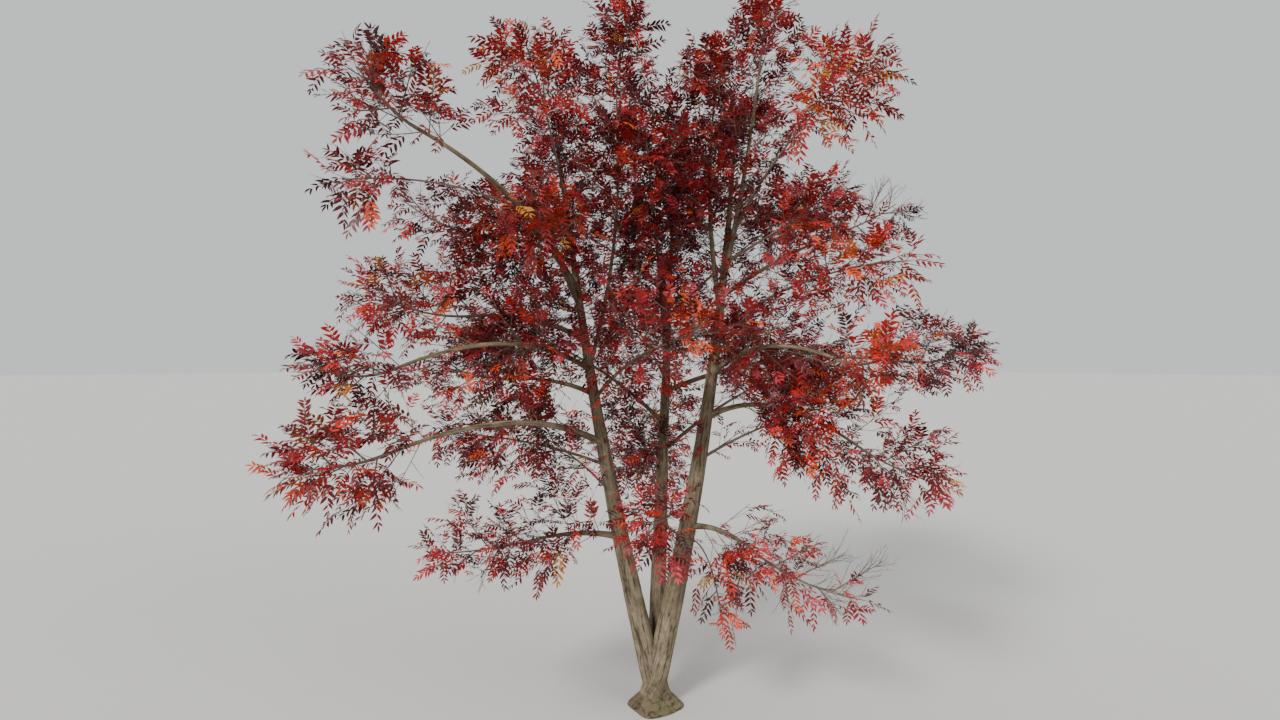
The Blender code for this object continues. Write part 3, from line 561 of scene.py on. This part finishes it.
def shoots(twigs, rule, space, rng, ahead=SHOOTS_FROM):
    """Side shoots of twigs at even steps, each turned by the golden angle from the one before. A
    shoot leaves at the spread from its twig's tangent, is shorter near the tip, and bends with the
    square of the way along it. One that would leave the room is skipped."""
    count = np.maximum((twigs.run / rule.spacing).round().astype(int), 1)
    parent = np.repeat(np.arange(len(count)), count)
    number = np.arange(count.sum()) - np.repeat(np.cumsum(count) - count, count)
    place = (number + rng.uniform(0.2, 0.8, len(number))) / count[parent]
    t = ahead[0] + (ahead[1] - ahead[0]) * place
    base = twigs.base[parent] + twigs.run[parent, None] * (
        twigs.way[parent] * t[:, None] + twigs.bend[parent] * t[:, None] ** 2
    )
    tangent = unit(twigs.way[parent] + 2 * t[:, None] * twigs.bend[parent])
    phase = rng.uniform(0, 2 * pi, len(count))[parent]
    side = across(tangent, phase + number * GOLDEN_ANGLE)
    angle = np.radians(rule.spread * rng.uniform(*SPREAD_VARIES, len(number)))[:, None]
    way = unit(tangent * np.cos(angle) + side * np.sin(angle) + (0, 0, SHOOT_LIFT))
    room = space.reach(base, way, MASS_FILL)
    longest = rule.longest * (1 - SHORTER_AT_END * t)
    run = np.minimum(room, longest) * rng.uniform(*RUN_VARIES, len(number))
    made = Twigs(base, way, run, rng.normal(0, SHOOT_BEND, (len(run), 3)) + (0, 0, SHOOT_RISE))
    return chosen(made, (run > rule.least) & space.free(line_points(made, SHOOT_TESTED_AT), MASS_FILL))


def sprays_of(twigs, wider, space, rng):
    """Leaf sprays along twigs, and one that goes on from each twig's end. They arch down with the
    square of the way along them. Wider multiplies their spacing."""
    rule = Rule(SPRAY_SPACING * wider, SPRAY_SPREAD, SPRAY_ROOM, SPRAY_LEAST)
    beside = shoots(twigs, rule, space, rng, SPRAYS_FROM)
    tip = line_points(twigs, (1.0,))[:, 0]
    way = unit(twigs.way + 2 * twigs.bend + rng.normal(0, SPRAY_TURN, twigs.way.shape))
    sprays = joined([beside, Twigs(tip, way, twigs.run, twigs.bend)])
    count = len(sprays.run)
    length = rng.uniform(*SPRAY_LENGTH, count)
    droop = rng.normal(0, SPRAY_BEND, (count, 3)) + (0, 0, -SPRAY_DROOP)
    made = Twigs(sprays.base, sprays.way, length, droop)
    return chosen(made, space.free(line_points(made, SPRAY_TESTED_AT), SPRAY_FILL, SPRAY_CLEAR))


def straight_parts(path, steps):
    """The path between each step and the next, as straight twigs."""
    points = path.at(steps)
    along = np.diff(points, axis=0)
    run = np.linalg.norm(along, axis=1)
    return Twigs(points[:-1], unit(along), run, np.zeros_like(along))


def grow(mass, path, space, rng):
    """A mass's first twigs, its finer shoots, its bare tips and its sprays."""
    twigs, bare, first = main_twigs(mass, path, space, rng)
    along = straight_parts(path, np.linspace(first, 1, STEM_PARTS + 1))
    leafy = chosen(twigs, ~bare)
    fine = joined([
        shoots(along, SHOOTS_ON_STEM, space, rng),
        shoots(leafy, SHOOTS_ON_TWIG, space, rng),
    ])
    share = LEAFY_LEAST + (1 - LEAFY_LEAST) * mass.leafy
    in_leaf = chosen(fine, rng.uniform(size=len(fine.run)) < share)
    bare_fine = joined([
        shoots(chosen(twigs, bare), BARE_SHOOTS, space, rng),
        shoots(twigs, LONG_BARE_SHOOTS, space, rng),
    ])
    bare_tips = shoots(bare_fine, BARE_TIPS, space, rng)
    sprays = joined([sprays_of(in_leaf, 1, space, rng), sprays_of(leafy, ON_TWIGS, space, rng)])
    return twigs, joined([fine, bare_fine]), bare_tips, sprays


def grow_on_limbs(limbs, stems, rng):
    """Long shoots, finer shoots and sprays that fill the room between the masses, from each limb."""
    room = BetweenMasses(limbs, stems)
    parts = []
    for limb in LIMBS:
        path = limbs[limb.name]
        bare, rule = (BOUGH_BARE, LONG_ON_BOUGH) if limb.parent else (MAIN_STEM_BARE, LONG_ON_MAIN_STEM)
        steps = np.linspace(bare, 0.99, int(path.length / LIMB_PART) + 2)
        parts.append(shoots(straight_parts(path, steps), rule, room, rng))
    long_shoots = joined(parts)
    fine = shoots(long_shoots, FINE_ON_LONG, room, rng)
    long_in_leaf = chosen(long_shoots, rng.uniform(size=len(long_shoots.run)) < LEAFY_LONG)
    on_long = sprays_of(long_in_leaf, ON_LONG, room, rng)
    fine_in_leaf = chosen(fine, rng.uniform(size=len(fine.run)) < LEAFY_FINE)
    on_fine = sprays_of(fine_in_leaf, ON_FINE, room, rng)
    return long_shoots, fine, joined([on_long, on_fine])


def new_mesh(name, verts, faces):
    """Links a mesh object at the origin from arrays of vertices and of equal-sided faces."""
    mesh = bpy.data.meshes.new(name)
    verts, faces = np.asarray(verts, np.float32).reshape(-1, 3), np.asarray(faces, np.int32)
    count, corners = faces.shape
    mesh.vertices.add(len(verts))
    mesh.vertices.foreach_set("co", verts.ravel())
    mesh.loops.add(faces.size)
    mesh.loops.foreach_set("vertex_index", faces.ravel())
    mesh.polygons.add(count)
    mesh.polygons.foreach_set("loop_start", np.arange(count, dtype=np.int32) * corners)
    mesh.update(calc_edges=True)
    obj = bpy.data.objects.new(name, mesh)
    bpy.context.scene.collection.objects.link(obj)
    return obj


def tube_faces(rings, sides):
    """Four-sided faces round a tube of rings, outwards, without its ends."""
    row = np.arange(rings - 1)[:, None] * sides
    k = np.arange(sides)
    a, b = row + k, row + (k + 1) % sides
    return np.stack((a, b, b + sides, a + sides), axis=-1).reshape(-1, 4)


def thin_tubes(points, radii, sides):
    """Many tubes at once: points are tubes by rings by 3, and each ring is a regular polygon."""
    tangents = unit(np.gradient(points, axis=1))
    chord = unit(points[:, -1:] - points[:, :1])
    guide = np.where(np.abs(chord[..., 2:]) > 0.8, (1.0, 0, 0), np.cross(chord, (0, 0, 1.0)))
    first = unit(guide - (guide * tangents).sum(-1, keepdims=True) * tangents)
    second = np.cross(tangents, first)
    turn = (np.arange(sides) * 2 * pi / sides)[:, None]
    ring = first[:, :, None] * np.cos(turn) + second[:, :, None] * np.sin(turn)
    verts = points[:, :, None] + ring * radii[..., None, None]
    count, rings = points.shape[:2]
    faces = tube_faces(rings, sides)
    all_faces = faces[None] + (np.arange(count) * rings * sides)[:, None, None]
    return verts.reshape(-1, 3), all_faces.reshape(-1, 4)


def twig_tubes(twigs, radii, rings, sides):
    """Tubes along twigs, tapering from the first radius to the second."""
    t = np.linspace(0, 1, rings)
    width = np.broadcast_to(np.interp(t, (0, 1), radii), (len(twigs.run), rings))
    return thin_tubes(line_points(twigs, t), width, sides)


def merged(parts):
    """Several pairs of vertices and faces as one pair."""
    sizes = np.cumsum([0] + [len(verts) for verts, _ in parts])
    faces = [faces + size for (_, faces), size in zip(parts, sizes)]
    return np.concatenate([verts for verts, _ in parts]), np.concatenate(faces)


def noise(u, v, columns, rows, rng):
    """Smooth random values: numbers on a lattice that wraps round in u, eased between its points."""
    grid = rng.uniform(0, 1, (rows + 1, columns))
    x, y = u * columns, np.clip(v, 0, 0.9999) * rows
    i, j = np.floor(x).astype(int), np.floor(y).astype(int)
    fx, fy = x - i, y - j
    fx, fy = fx * fx * (3 - 2 * fx), fy * fy * (3 - 2 * fy)
    low = grid[j, i % columns] * (1 - fx) + grid[j, (i + 1) % columns] * fx
    high = grid[j + 1, i % columns] * (1 - fx) + grid[j + 1, (i + 1) % columns] * fx
    return low * (1 - fy) + high * fy


def bark_height(u, v, girth, length, ridges, rng):
    """Bark from 0 in a furrow to 1 on a ridge: noise drawn out along the limb, where its middle
    value is a furrow, with the furrows wandering round the limb by a slower noise."""
    drift = noise(u, v, 3, max(2, int(length / DRIFT_RUN)), rng) * BARK_DRIFT
    height = 0
    for width, run, share in ridges:
        columns, rows = max(5, round(girth / width * 1000)), max(2, round(length / run * 1000))
        middle = np.abs(2 * noise(u + drift, v, columns, rows, rng) - 1)
        height = height + share * np.minimum(middle * FURROW_STEEPNESS, 1)
    return height


def barked(name, verts, sides, rings, height, u, v):
    """A tube piece whose vertices carry the bark's height, and whose UV map is in metres: round the
    limb and along it. Faces that close the round take the largest value at both their sides."""
    faces = tube_faces(rings, sides)
    piece = new_mesh(name, verts, faces)
    mesh = piece.data
    attribute = mesh.attributes.new("furrow", "FLOAT", "POINT")
    attribute.data.foreach_set("value", np.asarray(height, np.float32).ravel())
    layer = mesh.uv_layers.new(name="bark")
    corner = faces.ravel()
    around, along = np.asarray(u).ravel()[corner].reshape(-1, 4), np.asarray(v).ravel()[corner]
    seam = (around.max(axis=1) - around.min(axis=1)) > 0.5 * np.max(u)
    around = np.where(seam[:, None] & (around < 0.5 * np.max(u)), around + np.max(u), around)
    pairs = np.stack((around.ravel(), along), axis=-1).astype(np.float32)
    layer.data.foreach_set("uv", pairs.ravel())
    mesh.shade_smooth()
    close_end(mesh, [len(verts) - sides + k for k in range(sides)])
    return piece


def close_end(mesh, ring):
    """Closes a tube's end with one flat face on a ring of vertices."""
    bm = bmesh.new()
    bm.from_mesh(mesh)
    bm.verts.ensure_lookup_table()
    bm.faces.new([bm.verts[k] for k in ring])
    bm.to_mesh(mesh)
    bm.free()


def limb_piece(name, path, rng):
    """A limb's bark: rings round its path at the source's radii, with low lumps, less the depth of
    the furrows."""
    sides = int(np.clip(2 * pi * path.root / SIDE_STEP, LEAST_SIDES, MOST_SIDES))
    rings = int(path.length / RING_STEP) + 2
    t = np.linspace(0, 1, rings)
    tangents, radius = path.towards(t), path.radius(t)
    chord = unit(tangents.sum(axis=0))
    guide = np.array((1.0, 0, 0)) if abs(chord[2]) > 0.8 else unit(np.cross(chord, (0, 0, 1.0)))
    first = unit(guide - (tangents @ guide)[:, None] * tangents)
    second = np.cross(tangents, first)
    u, v = np.meshgrid(np.arange(sides) / sides, t)
    girth = 2 * pi * path.root
    height = bark_height(u, v, girth, path.length, BARK_RIDGES, rng)
    lumps = noise(u, v, 4, max(2, int(path.length / LIMB_LUMP_RUN)), rng) - 0.5
    depth = np.minimum(FURROW_SHARE * radius, FURROW_MOST)[:, None]
    width = radius[:, None] * (1 + LIMB_LUMPS * lumps) - depth * (1 - height)
    turn = u * 2 * pi
    ring = first[:, None] * np.cos(turn)[..., None] + second[:, None] * np.sin(turn)[..., None]
    verts = path.at(t)[:, None] + ring * width[..., None]
    return barked(name, verts.reshape(-1, 3), sides, rings, height, u * girth, v * path.length)


def foot_piece(stems, rng):
    """The foot: at each level and heading, the furthest of the flare and the three stems, eased
    into each other by the logarithm of the sum of their exponentials, and drawn in over its top by
    a quarter of an ellipse, inside the stems. The flare spreads downwards by a fading exponential,
    wider and higher where a root leaves it. A root is a bell curve round its heading."""
    u, v = np.meshgrid(np.arange(FOOT_SIDES) / FOOT_SIDES, np.linspace(0, 1, FOOT_RINGS))
    level = FOOT_TOP * v**RINGS_CROWD
    turn = u * 2 * pi
    away = (np.degrees(turn)[..., None] - np.array(ROOT_HEADINGS) + 180) % 360 - 180
    lobe = np.exp(-((away / ROOT_HALF_WIDTH) ** 2)).sum(axis=-1)
    rise = FLARE_HEIGHT * (ROOT_RISE[0] + ROOT_RISE[1] * lobe)
    fade = np.exp(-((level / rise) ** FLARE_FADE))
    spread = FLARE_SPREAD * (ROOT_REACH[0] + ROOT_REACH[1] * lobe)
    reach = [FLARE_WAIST - WAIST_TAPER * level + spread * fade]
    way = np.stack((np.cos(turn), np.sin(turn)), axis=-1)
    fine = np.linspace(0, 1, 400)
    for path in stems:
        t = np.interp(level[:, 0], path.at(fine)[:, 2], fine)
        middle = (path.at(t)[:, :2] - FLARE_MIDDLE)[:, None]
        along = (middle * way).sum(axis=-1)
        inside = along**2 - (middle**2).sum(axis=-1) + path.radius(t)[:, None] ** 2
        reach.append(np.where(inside > 0, along + np.sqrt(np.maximum(inside, 0)), 0.0))
    swell = np.log(np.exp(FOOT_BLEND * np.array(reach)).sum(axis=0))
    radius = swell / FOOT_BLEND - np.log(FOOT_BLENDED) / FOOT_BLEND
    height = bark_height(u, v, FOOT_GIRTH, FOOT_LENGTH, FOOT_RIDGES, rng)
    lumps = noise(u, v, LUMPS_ROUND, LUMPS_UP, rng) - 0.5
    closing = np.clip((level - FOOT_CLOSES_AT) / (FOOT_TOP - FOOT_CLOSES_AT), 0, 1)
    drawn_in = np.sqrt(np.maximum(1 - closing**2, 0.0004))
    radius = (radius * (1 + FOOT_LUMPS * lumps) - FOOT_FURROW * (1 - height)) * drawn_in
    east, north = FLARE_MIDDLE[0] + radius * way[..., 0], FLARE_MIDDLE[1] + radius * way[..., 1]
    verts = np.stack((east, north, level), axis=-1).reshape(-1, 3)
    around, along = u * FOOT_GIRTH, v * FOOT_LENGTH
    piece = barked("foot_bark", verts, FOOT_SIDES, FOOT_RINGS, height, around, along)
    close_end(piece.data, list(reversed(range(FOOT_SIDES))))
    return piece


def leaf_mesh(sprays, rng):
    """Every leaf of the sprays at once: two rows along a drooping stalk and one at its end. A leaf
    is seven points: root, tip, one on the midrib and two at each edge, folded up at the edges. It
    points ahead at the leaf's angle, drops a little, and is longest at the spray's middle."""
    count, leaves = len(sprays.run), SPRAY_LEAVES
    pairs = (leaves - 1) // 2
    t = np.repeat(np.linspace(*LEAVES_FROM, pairs), 2) + np.tile((0, LEAF_STAGGER), pairs)
    t = np.append(t, 1.0)
    hand = np.append(np.tile((1.0, -1.0), pairs), 0.0)
    t = np.broadcast_to(t, (count, leaves)) + rng.normal(0, LEAF_JITTER, (count, leaves)) * (hand != 0)
    root = line_points(sprays, t)
    tangent = unit(sprays.way[:, None] + 2 * t[..., None] * sprays.bend[:, None])
    tilt = rng.uniform(-SPRAY_TILT, SPRAY_TILT, count)[:, None]
    side = across(tangent, tilt + rng.normal(0, LEAF_TILT, (count, leaves)))
    angle = np.radians(LEAF_ANGLE + rng.normal(0, ANGLE_VARIES, (count, leaves)))[..., None]
    angle = np.where(hand[:, None] == 0, END_LEAF_ANGLE, angle)
    drop = (0, 0, -1.0) * rng.uniform(0.0, LEAF_DROP, (count, leaves))[..., None]
    way = unit(tangent * np.cos(angle) + side * np.sin(angle) * hand[:, None] + drop)
    face = unit(np.cross(side, tangent))
    wide = unit(np.cross(way, face))
    face = np.cross(wide, way)
    rise = np.sin(pi * np.clip(SIZE_RISE[0] + SIZE_RISE[1] * t, 0, 1))
    shape = END_SIZE + MIDDLE_GAIN * rise
    size = sprays.run[:, None] / np.mean(SPRAY_LENGTH) * LEAF_LENGTH * shape
    size = (size * rng.uniform(*LENGTH_VARIES, (count, leaves)))[..., None, None]
    along = np.array(LEAF_ALONG)[:, None]
    sideways = np.array(LEAF_ACROSS)[:, None] * LEAF_WIDTH
    above = np.array(LEAF_ABOVE)[:, None]
    verts = root[:, :, None] + size * (
        way[:, :, None] * along + wide[:, :, None] * sideways + face[:, :, None] * above
    )
    first = np.arange(count * leaves) * len(LEAF_ALONG)
    faces = np.array(LEAF_FACES)[None] + first[:, None, None]
    return verts.reshape(-1, 3), faces.reshape(-1, 3)


def linear(code):
    """An sRGB hex colour as linear red, green, blue and alpha."""
    part = np.array([int(code[k:k + 2], 16) / 255 for k in (0, 2, 4)])
    value = np.where(part <= 0.04045, part / 12.92, ((part + 0.055) / 1.055) ** 2.4)
    return (*value.tolist(), 1.0)


def add(tree, kind, settings, links=()):
    """Adds a node: settings are its properties or input values, and links feed its inputs."""
    made = tree.nodes.new(kind)
    for key, value in settings.items():
        if isinstance(key, str) and hasattr(made, key):
            setattr(made, key, value)
        else:
            made.inputs[key].default_value = value
    for key, source in links:
        tree.links.new(source, made.inputs[key])
    return made


def new_material(name):
    """An empty Principled material, its node tree and its shader."""
    made = bpy.data.materials.new(name)
    made.use_nodes = True
    return made, made.node_tree, made.node_tree.nodes["Principled BSDF"]


def bark_material(name, furrow, ridge, pale, moss, moss_level):
    """Sourwood bark, grown and weathered: dull grey-brown ridges with dark furrows, algae-green
    patches and a fine fibrous grain. It gives no gloss, only deep small shadows.

    Its fibres are 12 mm wide and 85 mm long, coarser than real ones so that they show, its pale
    worn parts 300 mm, its green patches 550 mm, and the specks that break them up 28 mm.
    """
    made, tree, shader = new_material(name)
    place = add(tree, "ShaderNodeTexCoord", {}).outputs
    depth = add(tree, "ShaderNodeAttribute", {"attribute_name": "furrow"}).outputs["Fac"]
    fibres = {"Scale": (1 / 0.012, 1 / 0.085, 1.0)}
    stretch = add(tree, "ShaderNodeMapping", fibres, [("Vector", place["UV"])])
    grain = add(tree, "ShaderNodeTexNoise", {"Scale": 1.0, "Detail": 5.0, "Roughness": 0.62},
                [("Vector", stretch.outputs[0])]).outputs[0]
    patterns = []
    for size, detail, rough in ((0.30, 4.0, 0.60), (0.55, 6.0, 0.68), (0.028, 3.0, 0.6)):
        settings = {"Scale": 1 / size, "Detail": detail, "Roughness": rough}
        made_noise = add(tree, "ShaderNodeTexNoise", settings, [("Vector", place["Object"])])
        patterns.append(made_noise.outputs[0])
    cloud, green, speck = patterns
    rise = add(tree, "ShaderNodeMapRange", {1: 0.15, 2: 0.85}, [(0, depth)]).outputs[0]
    body = add(tree, "ShaderNodeMix", {"data_type": "RGBA", 6: linear(furrow), 7: linear(ridge)},
               [(0, rise)]).outputs[2]
    worn = add(tree, "ShaderNodeMapRange", {1: 0.42, 2: 0.68}, [(0, cloud)]).outputs[0]
    worn = add(tree, "ShaderNodeMath", {"operation": "MULTIPLY"}, [(0, worn), (1, rise)]).outputs[0]
    body = add(tree, "ShaderNodeMix", {"data_type": "RGBA", 7: linear(pale)},
               [(0, worn), (6, body)]).outputs[2]
    fibre = add(tree, "ShaderNodeMapRange", {1: 0.30, 2: 0.62, 3: 0.62, 4: 1.12},
                [(0, grain)]).outputs[0]
    body = add(tree, "ShaderNodeVectorMath", {"operation": "SCALE"},
               [(0, body), ("Scale", fibre)]).outputs[0]
    patch = add(tree, "ShaderNodeMapRange", {1: moss_level, 2: moss_level + 0.10},
                [(0, green)]).outputs[0]
    dots = add(tree, "ShaderNodeMapRange", {1: 0.40, 2: 0.60}, [(0, speck)]).outputs[0]
    patch = add(tree, "ShaderNodeMath", {"operation": "MULTIPLY"}, [(0, patch), (1, dots)]).outputs[0]
    body = add(tree, "ShaderNodeMix", {"data_type": "RGBA", 7: linear(moss)},
               [(0, patch), (6, body)]).outputs[2]
    tree.links.new(body, shader.inputs["Base Color"])
    bump = add(tree, "ShaderNodeBump", {"Strength": 0.6, "Distance": 0.004}, [("Height", grain)])
    tree.links.new(bump.outputs[0], shader.inputs["Normal"])
    shader.inputs["Roughness"].default_value = 0.90
    shader.inputs["Specular IOR Level"].default_value = 0.25
    return made


def twig_material():
    """Young sourwood shoots: smooth thin bark, brown to grey in drifts of 450 mm, with no gloss."""
    made, tree, shader = new_material("twig_bark")
    place = add(tree, "ShaderNodeTexCoord", {}).outputs
    cloud = add(tree, "ShaderNodeTexNoise", {"Scale": 1 / 0.45, "Detail": 3.0},
                [("Vector", place["Object"])])
    body = add(tree, "ShaderNodeMix", {"data_type": "RGBA", 6: linear("5c4f42"), 7: linear("7d7264")},
               [(0, cloud.outputs[0])])
    tree.links.new(body.outputs[2], shader.inputs["Base Color"])
    shader.inputs["Roughness"].default_value = 0.70
    return made


def leaf_material(name, colour, roughness):
    """A sourwood leaf in autumn: thin, leathery and red, with a soft gloss and veins 12 mm apart,
    wider than real ones so that they show. Its colour is plain, because tints go by spray."""
    made, tree, shader = new_material(name)
    place = add(tree, "ShaderNodeTexCoord", {}).outputs
    shader.inputs["Base Color"].default_value = linear(colour)
    vein = add(tree, "ShaderNodeTexNoise", {"Scale": 1 / 0.012, "Detail": 2.0},
               [("Vector", place["Object"])])
    bump = add(tree, "ShaderNodeBump", {"Strength": 0.25, "Distance": 0.002},
               [("Height", vein.outputs[0])])
    tree.links.new(bump.outputs[0], shader.inputs["Normal"])
    shader.inputs["Roughness"].default_value = roughness
    return made


def finish_piece(piece, made, nodes):
    """Gives a piece its material and body, and hides the nodes that it stands for."""
    piece.data.materials.append(made)
    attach(piece, "root")
    if nodes:
        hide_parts(*nodes)


def build_limbs(limbs):
    """The foot, the stems, leaders and boughs, each with the bark's relief."""
    rng = np.random.default_rng(SEED)
    bark = bark_material("furrowed_bark", "4a3f30", "83755d", "a0937a", "6d6f4a", 0.56)
    base_bark = bark_material("blocky_bark", "3a3022", "6d6048", "877a60", "555a38", 0.52)
    foot = foot_piece([limbs[limb.name] for limb in LIMBS if limb.parent is None], rng)
    finish_piece(foot, base_bark, ["root_base"])
    for limb in LIMBS:
        piece = limb_piece(f"{limb.name}_bark", limbs[limb.name], rng)
        nodes = [limb.name] if limb.parent else [limb.name, "root_base"]
        finish_piece(piece, bark, nodes)


def mass_stems(stems):
    """The stem of every mass, as a tube at the source's radii."""
    parts = []
    for mass in MASSES:
        path = stems[mass.name]
        t = np.linspace(0, 1, max(6, int(path.length / STEM_RING_STEP)))
        parts.append(thin_tubes(path.at(t)[None], path.radius(t)[None], STEM_SIDES))
    return parts


def deal_out(sprays, shares, rng, dealt):
    """Deals sprays out to the leaf tints by their shares."""
    tint = rng.choice(len(TINTS), len(sprays.run), p=shares)
    for k, name in enumerate(TINTS):
        dealt[name].append(chosen(sprays, tint == k))


def grow_foliage(limbs, stems):
    """Tubes for the twigs, the fine shoots and the spray stalks, and the sprays by leaf tint."""
    wood = {"twigs": mass_stems(stems), "shoots": [], "stalks": []}
    dealt = {tint: [] for tint in TINTS}
    for number, mass in enumerate(MASSES):
        rng = np.random.default_rng(SEED + number)
        space = Space(mass, limbs, stems)
        twigs, fine, tips, sprays = grow(mass, stems[mass.name], space, rng)
        wood["twigs"].append(twig_tubes(twigs, TWIG_RADIUS, rings=5, sides=6))
        wood["shoots"].append(twig_tubes(fine, SHOOT_RADIUS, rings=4, sides=3))
        wood["shoots"].append(twig_tubes(tips, SPRAY_RADIUS, rings=3, sides=3))
        wood["stalks"].append(twig_tubes(sprays, SPRAY_RADIUS, rings=3, sides=3))
        deal_out(sprays, TINT_SHARES[mass.tint], rng, dealt)
    rng = np.random.default_rng(SEED + len(MASSES))
    long_shoots, fine, sprays = grow_on_limbs(limbs, stems, rng)
    wood["twigs"].append(twig_tubes(long_shoots, LONG_RADIUS, rings=5, sides=4))
    wood["shoots"].append(twig_tubes(fine, SHOOT_RADIUS, rings=4, sides=3))
    wood["stalks"].append(twig_tubes(sprays, SPRAY_RADIUS, rings=3, sides=3))
    deal_out(sprays, TINT_SHARES["crimson"], rng, dealt)
    return wood, dealt


def build_wood(wood):
    """One piece each of twigs, shoots and stalks. Together they stand for every mass."""
    bark = twig_material()
    for kind, parts in wood.items():
        piece = new_mesh(kind, *merged([part for part in parts if len(part[0])]))
        piece.data.shade_smooth()
        finish_piece(piece, bark, [mass.name for mass in MASSES])


def build_leaves(dealt):
    """Two pieces of leaves for each tint, a deep and a bright one, with sprays dealt out evenly. They
    stand for the masses of that tint."""
    for k, name in enumerate(TINTS):
        sprays = joined(dealt[name])
        deep, bright, roughness, slot = LEAF_FINISHES[name]
        rng = np.random.default_rng(SEED + LEAF_SEED + k)
        sunlit = rng.uniform(size=len(sprays.run)) < 0.5
        for shade, colour, keep in (("deep", deep, ~sunlit), ("bright", bright, sunlit)):
            made = leaf_material(f"{shade}_{name}_leaf", colour, roughness)
            leaves = new_mesh(f"leaves_{name}_{shade}", *leaf_mesh(chosen(sprays, keep), rng))
            finish_piece(leaves, made, [mass.name for mass in MASSES if mass.tint == name])


def stage_scene():
    """A pale matt floor, soft light from all round with a broad sun from the front left and a weaker
    one from the right, and the camera."""
    turn = np.linspace(0, 2 * pi, FLOOR_SIDES, endpoint=False)
    rim = np.stack((np.cos(turn), np.sin(turn), np.zeros(FLOOR_SIDES)), axis=-1) * FLOOR_RADIUS
    floor = new_mesh("floor", rim, np.arange(FLOOR_SIDES)[None])
    made, _, shader = new_material("pale_plaster")
    shader.inputs["Base Color"].default_value = linear("cfcdc9")
    shader.inputs["Roughness"].default_value = 0.9
    floor.data.materials.append(made)
    world = bpy.data.worlds.new("soft_studio")
    bpy.context.scene.world = world
    world.use_nodes = True
    sky = world.node_tree.nodes["Background"].inputs
    sky["Color"].default_value = linear("eef0f2")
    sky["Strength"].default_value = SKY_STRENGTH
    for name, (strength, turned, width) in SUNS.items():
        light = bpy.data.lights.new(name, "SUN")
        light.energy, light.angle = strength, radians(width)
        lamp = bpy.data.objects.new(name, light)
        lamp.rotation_euler = [radians(angle) for angle in turned]
        bpy.context.scene.collection.objects.link(lamp)
    lens = bpy.data.cameras.new("camera")
    lens.lens, lens.sensor_width = LENS, SENSOR_WIDTH
    lens.clip_end = 2.5 * FLOOR_RADIUS
    camera = bpy.data.objects.new("camera", lens)
    camera.location = CAMERA_AT
    camera.rotation_euler = (pi / 2, 0, 0)
    bpy.context.scene.collection.objects.link(camera)
    bpy.context.scene.camera = camera


def main():
    """Builds the tree's looks and the stage."""
    limbs, stems = lay_out()
    build_limbs(limbs)
    wood, dealt = grow_foliage(limbs, stems)
    build_wood(wood)
    build_leaves(dealt)
    stage_scene()


main()
